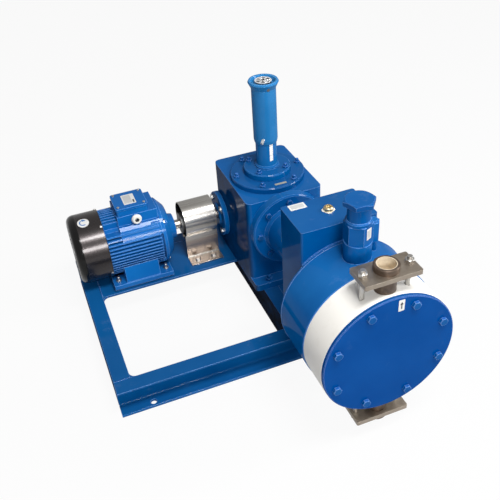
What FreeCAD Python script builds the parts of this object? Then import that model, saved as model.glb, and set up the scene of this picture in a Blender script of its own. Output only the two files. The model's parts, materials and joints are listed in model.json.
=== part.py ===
import FreeCAD, Part
import math
import os

# Motor-driven diaphragm dosing pump on a welded channel skid, in millimetres.
# The origin is the centre of the four foundation bolts, on the underside of the skid.
# X runs along the motor shaft towards the gearbox, Y away from the liquid end, Z up.

V = FreeCAD.Vector
AXIS = {"x": V(1, 0, 0), "y": V(0, 1, 0), "z": V(0, 0, 1)}

# Clearances
RUNNING = 0.05
FREE = 0.3
BOLT_CLEARANCE = 0.5

# Fasteners, as shares of the thread's diameter
HEAD_FLATS = 1.6
HEAD_HEIGHT = 0.65
NUT_HEIGHT = 0.8
BLIND_DEPTH = 2.0

# Skid of rolled channel
SKID_WIDTH = 520.0
CHANNEL_HEIGHT = 75.0
CHANNEL_FLANGE = 38.0
CHANNEL_WEB = 5.0
FLANGE_THICKNESS = 6.0
CHANNEL_ROOT_RADIUS = 5.0
CHANNEL_TOE_RADIUS = 2.5
MOTOR_RAIL_BOLT_INSET = 24.0
MOTOR_RAIL_STIFFENER = (6.0, 27.0)
STIFFENER_INSET = 63.0
REAR_RAIL_BOLT_INSET = 21.0
CROSS_MEMBER_BOLT_MARGIN = 1.0
SKID_END_BOLT_INSET = 24.0
FOUNDATION_PITCH_X = 430.0
FOUNDATION_EDGE = 12.0
FOUNDATION_HOLE_RADIUS = 7.0
MOTOR_PAD_HEIGHT = 6.0
MOTOR_PAD_WIDTH = 26.0

# Motor, foot mounted, 90 mm shaft height
FEET_BELOW_COWL = 1.0
MOTOR_FOOT_PITCH_X = 125.0
MOTOR_FOOT_PITCH_Y = 140.0
SHOULDER_TO_FOOT_HOLE = 56.0
SHAFT_EXTENSION = 50.0
SHAFT_RADIUS = 12.0
MOTOR_THREAD = 8.0
BARREL_RADIUS = 72.0
BARREL_BORE = 62.0
FIN_BELOW_COWL = 3.0
FIN_PITCH = 9.0
FIN_THICKNESS = 3.0
FRAME_LENGTH = 146.0
SHIELD_TO_SHOULDER = 50.0
FOOT_THICKNESS = 12.0
FOOT_OVERHANG = 19.0
FOOT_LENGTH_MARGIN = 15.0
SHIELD_THREAD = 6.0
SHIELD_BOSS_RADIUS = 8.0
SPOTFACE_RADIUS = 7.0
SHIELD_DEPTH = 26.0
SADDLE_RISE = 36.0
SADDLE_INSET = 2.0
COWL_RADIUS = 89.0
COWL_WALL = 2.0
COWL_LENGTH = 80.0
COWL_OVERLAP = 6.0
COWL_NOSE = 18.0
COWL_SLOT_RINGS = (20.0, 31.0, 42.0, 53.0, 64.0)
COWL_SLOT_WIDTH = 6.0
ROTOR_RADIUS = 40.0
AIR_GAP = 0.5
STACK_LENGTH = 88.0
FAN_BLADES = 8
FAN_GAP = 8.0
FAN_SETBACK = 22.0
FAN_WIDTH = 34.0
FAN_HUB_RADIUS = 20.0
REAR_SHAFT_RADIUS = 10.0
BEARING_BORE = 12.5
BEARING_RADIUS = 26.0
BEARING_WIDTH = 15.0
TERMINAL_BASE = (102.0, 88.0)
TERMINAL_BOX = (79.0, 74.0)
TERMINAL_BOX_SHIFT = -6.0
TERMINAL_HEIGHT = 22.0
TERMINAL_BASE_RISE = 3.0
TERMINAL_WALL = 4.0
LID_THICKNESS = 6.0
GLAND_RADIUS = 13.0
GLAND_BORE = 5.5
GLAND_LENGTH = 13.0
GLAND_FROM_PAD_END = 47.0
GLAND_BELOW_PAD_TOP = 12.0
TERMINAL_SETBACK = 2.0

# Jaw coupling and its guard
COUPLING_RADIUS = 28.0
HUB_LENGTH = 38.0
JAW_LENGTH = 16.0
COUPLING_GAP = 18.0
SPIDER_ARM_WIDTH = 7.0
SPIDER_BORE = 7.0
SPIDER_CORE = 7.0
GUARD_RADIUS = 48.0
GUARD_RISE = 10.0
GUARD_WALL = 2.0
GUARD_SETBACK = 4.0
GUARD_LENGTH = 85.0
STAND_THICKNESS = 4.0
STAND_LENGTH = 88.0
STAND_FOOT = 43.0
STAND_FROM_RAIL_EDGE = 22.0
GUARD_THREAD = 8.0

# Worm gearbox
CENTRE_DISTANCE = 100.0
GEARBOX_WIDTH = 195.0
GEARBOX_FRONT = 110.0
GEARBOX_REAR = 128.0
GEARBOX_HEIGHT = 240.0
GEARBOX_WALL = 10.0
GEARBOX_CORNER = 14.0
FOOT_FLANGE = 18.0
FOOT_FRONT_REACH = 31.0
FOOT_REAR_REACH = 25.0
GEAR_FOOT_PITCH_X = 116.0
GEAR_FOOT_INSET = 14.0
GEAR_FOOT_THREAD = 10.0
WORM_ROOM_RADIUS = 44.0
WORM_BEARING_RADIUS = 31.0
WORM_BEARING_BORE = 15.0
WORM_BEARING_WIDTH = 16.0
WORM_RADIUS = 18.0
WORM_LENGTH = 90.0
INPUT_FLANGE_RADIUS = 60.0
INPUT_FLANGE_THICKNESS = 12.0
INPUT_BOLT_INSET = 12.0
INPUT_HUB_RADIUS = 28.0
INPUT_HUB_LENGTH = 4.0
INPUT_CLEARANCE = 8.5
WHEEL_TEETH = 32
WHEEL_TOOTH_DEPTH = 9.0
MESH_CLEARANCE = 3.0
WHEEL_WIDTH = 36.0
WHEEL_WEB = 16.0
HUB_RADIUS = 40.0
WHEEL_NECK_RADIUS = 32.0
WHEEL_BEARING_RADIUS = 46.0
WHEEL_BEARING_WIDTH = 14.0
WHEEL_BOSS_RADIUS = 58.0
GEARBOX_THREAD = 8.0

# Covers and stroke adjuster
COVER_RADIUS = 92.0
COVER_THICKNESS = 14.0
COVER_BOLT_INSET = 11.0
COVER_OPENING_INSET = 13.0
COVER_BOLTS = 6
DISC_RADIUS = 58.0
DISC_THICKNESS = 16.0
DISC_BOLT_INSET = 9.0
DISC_BOLTS = 4
COLUMN_RADIUS = 25.5
COLUMN_BORE = 20.0
COLUMN_ABOVE_TRAVEL = 75.0
COLUMN_COLLAR_RADIUS = 30.0
COLUMN_COLLAR_HEIGHT = 7.0
COLUMN_NUT_HEIGHT = 15.0
STROKE_TRAVEL = 50.0
SLEEVE_RADIUS = 29.0
SLEEVE_LENGTH = 154.0
SLEEVE_ABOVE_TRAVEL = 16.0
SLEEVE_FLARE_RADIUS = 36.0
SLEEVE_FLARE_HEIGHT = 18.0
SLEEVE_RECESS_RADIUS = 27.0
SLEEVE_RECESS_DEPTH = 9.0
SLEEVE_PLUG_HEIGHT = 10.0
SPINDLE_RADIUS = 8.0
DIAL_RADIUS = 20.0
DIAL_HEIGHT = 4.0
LOCK_SCREW_RADIUS = 4.0

# Variable crank
MAX_THROW = 8.0
CRANK_BAR = 16.0
CRANK_LOWER_RADIUS = 22.0
CRANK_UPPER_RADIUS = 14.0
ECCENTRIC_RADIUS = 32.0
ECCENTRIC_HEIGHT = 30.0
STRAP_CLEARANCE = 20.0
STRAP_WALL = 8.0
STRAP_HEIGHT = 24.0
ROD_LENGTH = 179.0
ROD_WIDTH = 16.0
PIN_RADIUS = 8.0
PIN_EYE_RADIUS = 16.0
CROSSHEAD_RADIUS = 36.0
CROSSHEAD_LENGTH = 56.0
PLUNGER_RADIUS = 16.0
PLUNGER_REACH = 13.0

# Crosshead guide, hydraulic box and hydraulic cylinder
PUMP_RISE = 62.0
GUIDE_FLANGE_RADIUS = 94.0
GUIDE_FLANGE_THICKNESS = 23.0
GUIDE_SPIGOT_INSET = 15.0
GUIDE_NECK_RADIUS = 60.0
GUIDE_LENGTH = 187.0
GUIDE_BOLT_INSET = 17.0
GUIDE_BOLTS = 8
BOX_WIDTH = 168.0
BOX_SHIFT = -8.0
BOX_DEPTH = 104.0
BOX_RISE = 186.0
BOX_DROP = 83.0
BOX_WALL = 8.0
GLAND_FLANGE_RADIUS = 34.0
GLAND_SLEEVE_RADIUS = 24.0
GLAND_FLANGE_THICKNESS = 12.0
PACKING_DEPTH = 40.0
FILLER_RADIUS = 10.0
FILLER_HEIGHT = 9.0
CYLINDER_RADIUS = 143.0
CYLINDER_LENGTH = 112.0
CYLINDER_CHAMFER = 4.0
CHAMBER_RADIUS = 40.0
DISH_INSET = 13.0
DISH_DEPTH = 14.0

# Hydraulic valves on the cylinder
RELIEF_BOSS_RADIUS = 28.0
RELIEF_BOSS_RISE = 38.0
RELIEF_FLATS = 50.0
RELIEF_TURN = 24.0
RELIEF_HEIGHT = 42.0
RELIEF_COLLAR = (26.0, 8.0)
RELIEF_NECK_RADIUS = 22.5
RELIEF_NECK_HEIGHT = 40.0
RELIEF_CAP_FLATS = 56.0
RELIEF_CAP_TURN = 51.0
RELIEF_CAP_HEIGHT = 11.0
RELIEF_BORE = 13.0
POPPET_RADIUS = 9.0
POPPET_LIFT = 5.0
REFILL_OFFSET = (40.0, 14.0)
REFILL_BOSS_RADIUS = 9.0
REFILL_BOSS_RISE = 18.0
REFILL_FLATS = 24.0
REFILL_HEIGHT = 43.0
REFILL_CAP_RISE = 4.0

# Liquid end
HEAD_STEP = 1.5
HEAD_LENGTH = 76.0
DIAPHRAGM_MARGIN = 9.0
DIAPHRAGM_THICKNESS = 3.0
FRONT_COVER_THICKNESS = 8.0
FRONT_COVER_STEP = 2.0
HEAD_BOLT_INSET = 22.0
HEAD_BOLTS = 8
HEAD_THREAD = 10.0
VALVE_SETBACK = 27.0
VALVE_RADIUS = 21.0
VALVE_BORE = 15.0
NOZZLE_RADIUS = 24.5
NOZZLE_BORE = 18.0
NOZZLE_HEIGHT = 13.0
VALVE_SEAT_DEPTH = 70.0
BALL_RADIUS = 12.0
BALL_LIFT = 6.0
SEAT_BORE = 9.0
PLATE_SIZE = (117.0, 60.0)
PLATE_THICKNESS = 10.0
PLATE_STANDOFF = 33.5
STUD_PITCH = 95.0
STUD_THREAD = 10.0

# The skid is as long as the row of motor, coupling and gearbox that it carries
MOTOR_LENGTH = COWL_LENGTH - COWL_OVERLAP + FRAME_LENGTH + SHIELD_TO_SHOULDER
COUPLING_SPAN = SHAFT_EXTENSION + COUPLING_GAP + HUB_LENGTH + INPUT_CLEARANCE + INPUT_HUB_LENGTH
GEARBOX_TO_END = GEARBOX_WIDTH / 2 + GEAR_FOOT_PITCH_X / 2 + SKID_END_BOLT_INSET
SKID_LENGTH = MOTOR_LENGTH + COUPLING_SPAN + INPUT_FLANGE_THICKNESS + GEARBOX_TO_END

# Derived places
LEFT_END = -SKID_LENGTH / 2
RIGHT_END = SKID_LENGTH / 2
FRONT_EDGE = -SKID_WIDTH / 2
REAR_EDGE = SKID_WIDTH / 2
FOUNDATION_PITCH_Y = SKID_WIDTH - 2 * FOUNDATION_EDGE
CROSS_MEMBER_BOLT_INSET = (CHANNEL_WEB + CHANNEL_ROOT_RADIUS + CROSS_MEMBER_BOLT_MARGIN
                           + HEAD_FLATS / math.sqrt(3) * GEAR_FOOT_THREAD)
FIN_RADIUS = COWL_RADIUS - FIN_BELOW_COWL
FAN_RADIUS = COWL_RADIUS - COWL_WALL - FAN_GAP
TERMINAL_BASE_TOP = COWL_RADIUS + TERMINAL_BASE_RISE
TERMINAL_TOP = TERMINAL_BASE_TOP + TERMINAL_HEIGHT
SHAFT_HEIGHT = COWL_RADIUS + FEET_BELOW_COWL
SHAFT_Z = CHANNEL_HEIGHT + MOTOR_PAD_HEIGHT + SHAFT_HEIGHT
PUMP_Z = SHAFT_Z + PUMP_RISE
MOTOR_Y = REAR_EDGE - REAR_RAIL_BOLT_INSET - MOTOR_FOOT_PITCH_Y / 2
MOTOR_RAIL_FRONT = MOTOR_Y - MOTOR_FOOT_PITCH_Y / 2 - MOTOR_RAIL_BOLT_INSET
WORM_Y = MOTOR_Y
WHEEL_Y = WORM_Y - CENTRE_DISTANCE
GEAR_X = RIGHT_END - SKID_END_BOLT_INSET - GEAR_FOOT_PITCH_X / 2
GEARBOX_LEFT = GEAR_X - GEARBOX_WIDTH / 2
GEARBOX_RIGHT = GEAR_X + GEARBOX_WIDTH / 2
GEAR_HUB_END = GEARBOX_LEFT - INPUT_FLANGE_THICKNESS - INPUT_HUB_LENGTH - INPUT_CLEARANCE
GEAR_HUB_START = GEAR_HUB_END - HUB_LENGTH
SHAFT_END = GEAR_HUB_START - COUPLING_GAP
SHAFT_SHOULDER_X = SHAFT_END - SHAFT_EXTENSION
MOTOR_FOOT_X = SHAFT_SHOULDER_X - SHOULDER_TO_FOOT_HOLE - MOTOR_FOOT_PITCH_X / 2
FRAME_END = SHAFT_SHOULDER_X - SHIELD_TO_SHOULDER
FRAME_START = FRAME_END - FRAME_LENGTH
COWL_END = FRAME_START + COWL_OVERLAP
COWL_START = COWL_END - COWL_LENGTH
MOTOR_HUB_START = SHAFT_END - HUB_LENGTH
GUARD_START = MOTOR_HUB_START + GUARD_SETBACK
GEARBOX_FRONT_Y = WHEEL_Y - GEARBOX_FRONT
GEARBOX_REAR_Y = WHEEL_Y + GEARBOX_REAR
GEARBOX_TOP = CHANNEL_HEIGHT + GEARBOX_HEIGHT
GEAR_FEET_FRONT = GEARBOX_FRONT_Y - FOOT_FRONT_REACH
GEAR_FEET_REAR = GEARBOX_REAR_Y + FOOT_REAR_REACH
GEAR_BOLT_FRONT = GEAR_FEET_FRONT + GEAR_FOOT_INSET
GEAR_BOLT_REAR = GEAR_FEET_REAR - GEAR_FOOT_INSET
INNER_CROSS_X = GEAR_X - GEAR_FOOT_PITCH_X / 2 - CROSS_MEMBER_BOLT_INSET
GEAR_AXIS = (GEAR_X, WHEEL_Y)
PUMP_AXIS = (GEAR_X, PUMP_Z)
WORM_AXIS = (WORM_Y, SHAFT_Z)
MOTOR_AXIS = (MOTOR_Y, SHAFT_Z)
GUARD_AXIS = (MOTOR_Y, SHAFT_Z + GUARD_RISE)
BOX_X = GEAR_X + BOX_SHIFT
FRONT_COVER_RADIUS = CYLINDER_RADIUS - FRONT_COVER_STEP
COVER_TOP = GEARBOX_TOP + COVER_THICKNESS
DISC_TOP = COVER_TOP + DISC_THICKNESS
COLUMN_TOP = DISC_TOP + STROKE_TRAVEL + COLUMN_ABOVE_TRAVEL
SLEEVE_BOTTOM = DISC_TOP + STROKE_TRAVEL + SLEEVE_ABOVE_TRAVEL
SLEEVE_TOP = SLEEVE_BOTTOM + SLEEVE_LENGTH
GUIDE_REAR = GEARBOX_FRONT_Y
GUIDE_FRONT = GUIDE_REAR - GUIDE_LENGTH
BOX_FRONT = GUIDE_FRONT - BOX_DEPTH
CYLINDER_FRONT = BOX_FRONT - CYLINDER_LENGTH
HEAD_FRONT = CYLINDER_FRONT - HEAD_LENGTH
COVER_FRONT = HEAD_FRONT - FRONT_COVER_THICKNESS
VALVE_Y = HEAD_FRONT + VALVE_SETBACK
VALVE_AXIS = (GEAR_X, VALVE_Y)
RELIEF_AXIS = (GEAR_X, BOX_FRONT - CYLINDER_LENGTH / 2)
REFILL_AXIS = (GEAR_X + REFILL_OFFSET[0], RELIEF_AXIS[1] + REFILL_OFFSET[1])
PIN_Y = WHEEL_Y - ROD_LENGTH
CRANK_SLOPE = MAX_THROW / STROKE_TRAVEL
WORM_TUBE_RADIUS = INPUT_FLANGE_RADIUS - 1
INPUT_BOLT_CIRCLE = INPUT_FLANGE_RADIUS - INPUT_BOLT_INSET
WHEEL_TIP_RADIUS = CENTRE_DISTANCE - WORM_RADIUS - MESH_CLEARANCE
WHEEL_ROOT_RADIUS = WHEEL_TIP_RADIUS - WHEEL_TOOTH_DEPTH
COVER_BOLT_CIRCLE = COVER_RADIUS - COVER_BOLT_INSET
COVER_OPENING = COVER_BOLT_CIRCLE - COVER_OPENING_INSET
DISC_BOLT_CIRCLE = DISC_RADIUS - DISC_BOLT_INSET
GUIDE_BOLT_CIRCLE = GUIDE_FLANGE_RADIUS - GUIDE_BOLT_INSET
GUIDE_SPIGOT_RADIUS = GUIDE_BOLT_CIRCLE - GUIDE_SPIGOT_INSET
BOX_TOP = PUMP_Z + BOX_RISE
BOX_BOTTOM = PUMP_Z - BOX_DROP
RELIEF_BOSS_TOP = PUMP_Z + CYLINDER_RADIUS + RELIEF_BOSS_RISE
REFILL_BOSS_TOP = PUMP_Z + CYLINDER_RADIUS + REFILL_BOSS_RISE
HEAD_RADIUS = CYLINDER_RADIUS - HEAD_STEP
HEAD_BOLT_CIRCLE = CYLINDER_RADIUS - HEAD_BOLT_INSET
DISH_RADIUS = HEAD_BOLT_CIRCLE - DISH_INSET
DIAPHRAGM_RADIUS = HEAD_BOLT_CIRCLE + DIAPHRAGM_MARGIN
PLATE_TOP_HEIGHT = HEAD_RADIUS + PLATE_STANDOFF + PLATE_THICKNESS


def point(axis, along, across):
    """A point given by its place along an axis and its two other coordinates."""
    if axis == "x":
        return V(along, across[0], across[1])
    if axis == "y":
        return V(across[0], along, across[1])
    return V(across[0], across[1], along)


def rod(axis, start, end, radius, across):
    low, high = min(start, end), max(start, end)
    return Part.makeCylinder(radius, high - low, point(axis, low, across), AXIS[axis])


def tube(axis, start, end, outer, inner, across):
    return rod(axis, start, end, outer, across).cut(rod(axis, start - 1, end + 1, inner, across))


def block(x_range, y_range, z_range):
    size = [pair[1] - pair[0] for pair in (x_range, y_range, z_range)]
    return Part.makeBox(size[0], size[1], size[2], V(x_range[0], y_range[0], z_range[0]))


def about(centre, size):
    return (centre - size / 2, centre + size / 2)


def turned(axis, across, outline):
    """A solid of revolution; the outline lists (place along the axis, radius)."""
    corners = [point(axis, along, (across[0] + radius, across[1])) for along, radius in outline]
    face = Part.Face(Part.makePolygon(corners + [corners[0]]))
    return face.revolve(point(axis, 0, across), AXIS[axis], 360)


def prism(axis, start, end, outline):
    """A straight prism; the outline lists the two coordinates across the axis."""
    corners = [point(axis, start, corner) for corner in outline]
    face = Part.Face(Part.makePolygon(corners + [corners[0]]))
    return face.extrude(AXIS[axis] * (end - start))


def around(across, radius, count, first=0.0):
    """Places spaced evenly on a circle, the first at the given angle in degrees."""
    turns = [math.radians(first + 360.0 * k / count) for k in range(count)]
    return [(across[0] + radius * math.cos(t), across[1] + radius * math.sin(t)) for t in turns]


def hexagon(axis, start, end, flats, across, first=0.0):
    return prism(axis, start, end, around(across, flats / math.sqrt(3), 6, first))


def hexagon_head(axis, seat, top, flats, place):
    """A hexagon whose corners are turned off at 30 degrees at the far end."""
    corner = flats / math.sqrt(3)
    land = 0.47 * flats
    side = 1 if top > seat else -1
    shoulder = top - side * (corner + 1 - land) * math.tan(math.radians(30))
    envelope = turned(axis, place, [(seat, 0), (seat, corner + 1), (shoulder, corner + 1),
                                    (top, land), (top, 0)])
    return hexagon(axis, seat, top, flats, place).common(envelope)


def joined(solids):
    return solids[0].multiFuse(solids[1:]).removeSplitter()


def rounded(solid, radius, chosen):
    """The solid with the edges that the test picks rounded off."""
    return solid.makeFillet(radius, [edge for edge in solid.Edges if chosen(edge)])


def runs_along(edge, axis):
    if len(edge.Vertexes) < 2:
        return False
    span = edge.Vertexes[-1].Point - edge.Vertexes[0].Point
    return abs(span.dot(AXIS[axis])) > 0.999 * max(span.Length, 1e-6) and span.Length > 1


def save(name, solids):
    shape = solids[0] if len(solids) == 1 else Part.makeCompound(solids)
    shape.exportStep("parts/" + name + ".step")


class Bolts:
    """A set of hexagon bolts with one seat: heads on the side `up`, shanks the other way."""

    def __init__(self, axis, seat, up, thread, grip, places):
        self.axis = axis
        self.seat = seat
        self.up = up
        self.thread = thread
        self.grip = grip
        self.places = places

    def solids(self):
        made = []
        for place in self.places:
            top = self.seat + self.up * HEAD_HEIGHT * self.thread
            head = hexagon_head(self.axis, self.seat, top, HEAD_FLATS * self.thread, place)
            shank = rod(self.axis, self.seat, self.seat - self.up * self.grip, self.thread / 2, place)
            made.append(head.fuse(shank).removeSplitter())
        return made

    def nuts(self, seat):
        made = []
        for place in self.places:
            end = seat - self.up * NUT_HEIGHT * self.thread
            body = hexagon(self.axis, seat, end, HEAD_FLATS * self.thread, place)
            made.append(body.cut(rod(self.axis, seat, end, self.thread / 2, place)))
        return made

    def cut_from(self, solid):
        for place in self.places:
            end = self.seat - self.up * (self.grip + BLIND_DEPTH)
            hole = rod(self.axis, self.seat + self.up, end, (self.thread + BOLT_CLEARANCE) / 2, place)
            solid = solid.cut(hole)
        return solid


def channel(axis, start, end, web_face, side, top=CHANNEL_HEIGHT):
    """A rolled channel on edge; the flanges point from the web's face to the side given."""
    toe = web_face + side * CHANNEL_FLANGE
    web = web_face + side * CHANNEL_WEB
    low = top - CHANNEL_HEIGHT
    outline = [(web_face, low), (toe, low), (toe, low + FLANGE_THICKNESS), (web, low + FLANGE_THICKNESS),
               (web, top - FLANGE_THICKNESS), (toe, top - FLANGE_THICKNESS), (toe, top), (web_face, top)]
    solid = prism(axis, start, end, outline)
    across = "y" if axis == "x" else "x"

    def inner_edge(edge, place):
        middle = edge.CenterOfMass
        inside = low + 1 < middle.z < top - 1
        return runs_along(edge, axis) and inside and abs(middle.dot(AXIS[across]) - place) < 0.01

    solid = rounded(solid, CHANNEL_ROOT_RADIUS, lambda edge: inner_edge(edge, web))
    return rounded(solid, CHANNEL_TOE_RADIUS, lambda edge: inner_edge(edge, toe))


def rectangle(centre, pitch_x, pitch_y):
    xs = (centre[0] - pitch_x / 2, centre[0] + pitch_x / 2)
    ys = (centre[1] - pitch_y / 2, centre[1] + pitch_y / 2)
    return [(x, y) for x in xs for y in ys]


FOUNDATION_HOLES = rectangle((0, 0), FOUNDATION_PITCH_X, FOUNDATION_PITCH_Y)
MOTOR_FEET_TOP = CHANNEL_HEIGHT + MOTOR_PAD_HEIGHT + FOOT_THICKNESS
MOTOR_FOOT_GRIP = FOOT_THICKNESS + MOTOR_PAD_HEIGHT + FLANGE_THICKNESS + 10
MOTOR_BOLTS = Bolts("z", MOTOR_FEET_TOP, 1, MOTOR_THREAD, MOTOR_FOOT_GRIP,
                    rectangle((MOTOR_FOOT_X, MOTOR_Y), MOTOR_FOOT_PITCH_X, MOTOR_FOOT_PITCH_Y))
GEAR_FOOT_BOLTS = Bolts("z", CHANNEL_HEIGHT + FOOT_FLANGE, 1, GEAR_FOOT_THREAD,
                        FOOT_FLANGE + FLANGE_THICKNESS + 13,
                        rectangle((GEAR_X, (GEAR_BOLT_FRONT + GEAR_BOLT_REAR) / 2),
                                  GEAR_FOOT_PITCH_X, GEAR_BOLT_REAR - GEAR_BOLT_FRONT))
SHIELD_SCREWS = Bolts("x", FRAME_END + 8, 1, SHIELD_THREAD, 24,
                      around(MOTOR_AXIS, FIN_RADIUS - SHIELD_BOSS_RADIUS, 4, 45))
STAND_Y = MOTOR_RAIL_FRONT + STAND_FROM_RAIL_EDGE + STAND_FOOT / 2
STAND_X = GUARD_START + GUARD_LENGTH / 2
GUARD_BOLTS = Bolts("z", CHANNEL_HEIGHT + STAND_THICKNESS, 1, GUARD_THREAD,
                    STAND_THICKNESS + FLANGE_THICKNESS + 8,
                    [(STAND_X - STAND_LENGTH / 4, STAND_Y), (STAND_X + STAND_LENGTH / 4, STAND_Y)])
INPUT_BOLTS = Bolts("x", GEARBOX_LEFT - INPUT_FLANGE_THICKNESS, -1, GEARBOX_THREAD,
                    INPUT_FLANGE_THICKNESS + 12, around(WORM_AXIS, INPUT_BOLT_CIRCLE, 4, 45))
TOP_BOLTS = Bolts("z", COVER_TOP, 1, GEARBOX_THREAD, COVER_THICKNESS + 7,
                  around(GEAR_AXIS, COVER_BOLT_CIRCLE, COVER_BOLTS))
DISC_SCREWS = Bolts("z", DISC_TOP, 1, GEARBOX_THREAD, DISC_THICKNESS + 8,
                    around(GEAR_AXIS, DISC_BOLT_CIRCLE, DISC_BOLTS, 45))
GUIDE_SCREWS = Bolts("y", GUIDE_REAR - GUIDE_FLANGE_THICKNESS, -1, GEARBOX_THREAD,
                     GUIDE_FLANGE_THICKNESS + 7, around(PUMP_AXIS, GUIDE_BOLT_CIRCLE, GUIDE_BOLTS))
HEAD_SCREWS = Bolts("y", COVER_FRONT, -1, HEAD_THREAD,
                    FRONT_COVER_THICKNESS + HEAD_LENGTH + 22,
                    around(PUMP_AXIS, HEAD_BOLT_CIRCLE, HEAD_BOLTS, 22.5))


def skid():
    front = channel("x", LEFT_END, RIGHT_END, FRONT_EDGE + CHANNEL_FLANGE, -1)
    rear = channel("x", LEFT_END, RIGHT_END, REAR_EDGE - CHANNEL_FLANGE, 1)
    between = (FRONT_EDGE + CHANNEL_FLANGE, REAR_EDGE - CHANNEL_FLANGE)
    left = channel("y", between[0], between[1], LEFT_END + CHANNEL_FLANGE, -1)
    inner = channel("y", between[0], between[1], INNER_CROSS_X, 1)
    outer = channel("y", between[0], between[1], RIGHT_END, -1)
    motor_span = (LEFT_END + CHANNEL_FLANGE, INNER_CROSS_X)
    under = CHANNEL_HEIGHT - FLANGE_THICKNESS
    motor = block(motor_span, (MOTOR_RAIL_FRONT, REAR_EDGE - CHANNEL_FLANGE), (under, CHANNEL_HEIGHT))
    stiffener = block(motor_span, about(MOTOR_RAIL_FRONT + STIFFENER_INSET, MOTOR_RAIL_STIFFENER[0]),
                      (under - MOTOR_RAIL_STIFFENER[1], under))

    pad_length = MOTOR_FOOT_PITCH_X + 2 * FOOT_LENGTH_MARGIN
    pad_height = (CHANNEL_HEIGHT, CHANNEL_HEIGHT + MOTOR_PAD_HEIGHT)
    pads = [block(about(MOTOR_FOOT_X, pad_length),
                  about(MOTOR_Y + side * MOTOR_FOOT_PITCH_Y / 2, MOTOR_PAD_WIDTH), pad_height)
            for side in (-1, 1)]
    motor = joined([motor, stiffener, pads[0]])
    rear = rear.fuse(pads[1])

    for place in FOUNDATION_HOLES:
        hole = rod("z", -1, FLANGE_THICKNESS + 1, FOUNDATION_HOLE_RADIUS, place)
        front = front.cut(hole)
        rear = rear.cut(hole)
    rear = MOTOR_BOLTS.cut_from(rear)
    motor = GUARD_BOLTS.cut_from(MOTOR_BOLTS.cut_from(motor))
    inner = GEAR_FOOT_BOLTS.cut_from(inner)
    outer = GEAR_FOOT_BOLTS.cut_from(outer)
    save("front_rail", [front])
    save("rear_rail", [rear])
    save("motor_rail", [motor])
    save("left_cross_member", [left])
    save("gearbox_cross_members", [inner, outer])


def motor_frame():
    """Finned barrel with cast feet and the pad that carries the terminal box."""
    fin_span = (FRAME_START + COWL_OVERLAP + 1, FRAME_END - 6)
    envelope = rod("x", fin_span[0], fin_span[1], FIN_RADIUS, MOTOR_AXIS)
    plates = []
    half = int(BARREL_RADIUS * 0.78 / FIN_PITCH)
    for k in range(-half, half + 1):
        height = about(SHAFT_Z + k * FIN_PITCH, FIN_THICKNESS)
        plates.append(block(fin_span, about(MOTOR_Y, 2 * FIN_RADIUS), height))
    for k in range(-4, 5):
        width = about(MOTOR_Y + k * FIN_PITCH, FIN_THICKNESS)
        plates.append(block(fin_span, width, about(SHAFT_Z, 2 * FIN_RADIUS)))
    fins = [plate.common(envelope) for plate in plates]

    feet_top = MOTOR_FEET_TOP
    feet_bottom = feet_top - FOOT_THICKNESS
    foot_span = about(MOTOR_FOOT_X, MOTOR_FOOT_PITCH_X + 2 * FOOT_LENGTH_MARGIN)
    outer_reach = MOTOR_FOOT_PITCH_Y / 2 + FOOT_OVERHANG
    legs = []
    for side in (-1, 1):
        reach = sorted((MOTOR_Y + side * 46, MOTOR_Y + side * outer_reach))
        legs.append(block(foot_span, (reach[0], reach[1]), (feet_bottom, feet_top)))
        leg = [(MOTOR_Y + side * (outer_reach - 3), feet_top - 1),
               (MOTOR_Y + side * (BARREL_RADIUS + 6), SHAFT_Z - 34),
               (MOTOR_Y + side * 52, SHAFT_Z - 34), (MOTOR_Y + side * 46, feet_top - 1)]
        legs.append(prism("x", MOTOR_FOOT_X - 44, MOTOR_FOOT_X + 44, leg))
    bosses = [rod("x", FRAME_END - SHIELD_SCREWS.grip, FRAME_END, SHIELD_BOSS_RADIUS, place)
              for place in SHIELD_SCREWS.places]
    base_x = (FRAME_END - TERMINAL_BASE[0], FRAME_END)
    pad = block(base_x, about(MOTOR_Y, TERMINAL_BASE[1]), (SHAFT_Z + 40, SHAFT_Z + TERMINAL_BASE_TOP))
    saddle_top = SHAFT_Z + TERMINAL_BASE_TOP - GLAND_BELOW_PAD_TOP - GLAND_RADIUS - 1
    saddle = block(base_x, about(MOTOR_Y, 2 * FIN_RADIUS), (SHAFT_Z + SADDLE_RISE, saddle_top))
    saddle = saddle.common(rod("x", base_x[0], base_x[1], FIN_RADIUS - SADDLE_INSET, MOTOR_AXIS))
    barrel = rod("x", FRAME_START, FRAME_END, BARREL_RADIUS, MOTOR_AXIS)
    solid = joined([barrel] + fins + legs + bosses + [pad, saddle])
    solid = solid.cut(rod("x", FRAME_START - 1, FRAME_END + 1, BARREL_BORE, MOTOR_AXIS))
    return SHIELD_SCREWS.cut_from(MOTOR_BOLTS.cut_from(solid))


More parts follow.
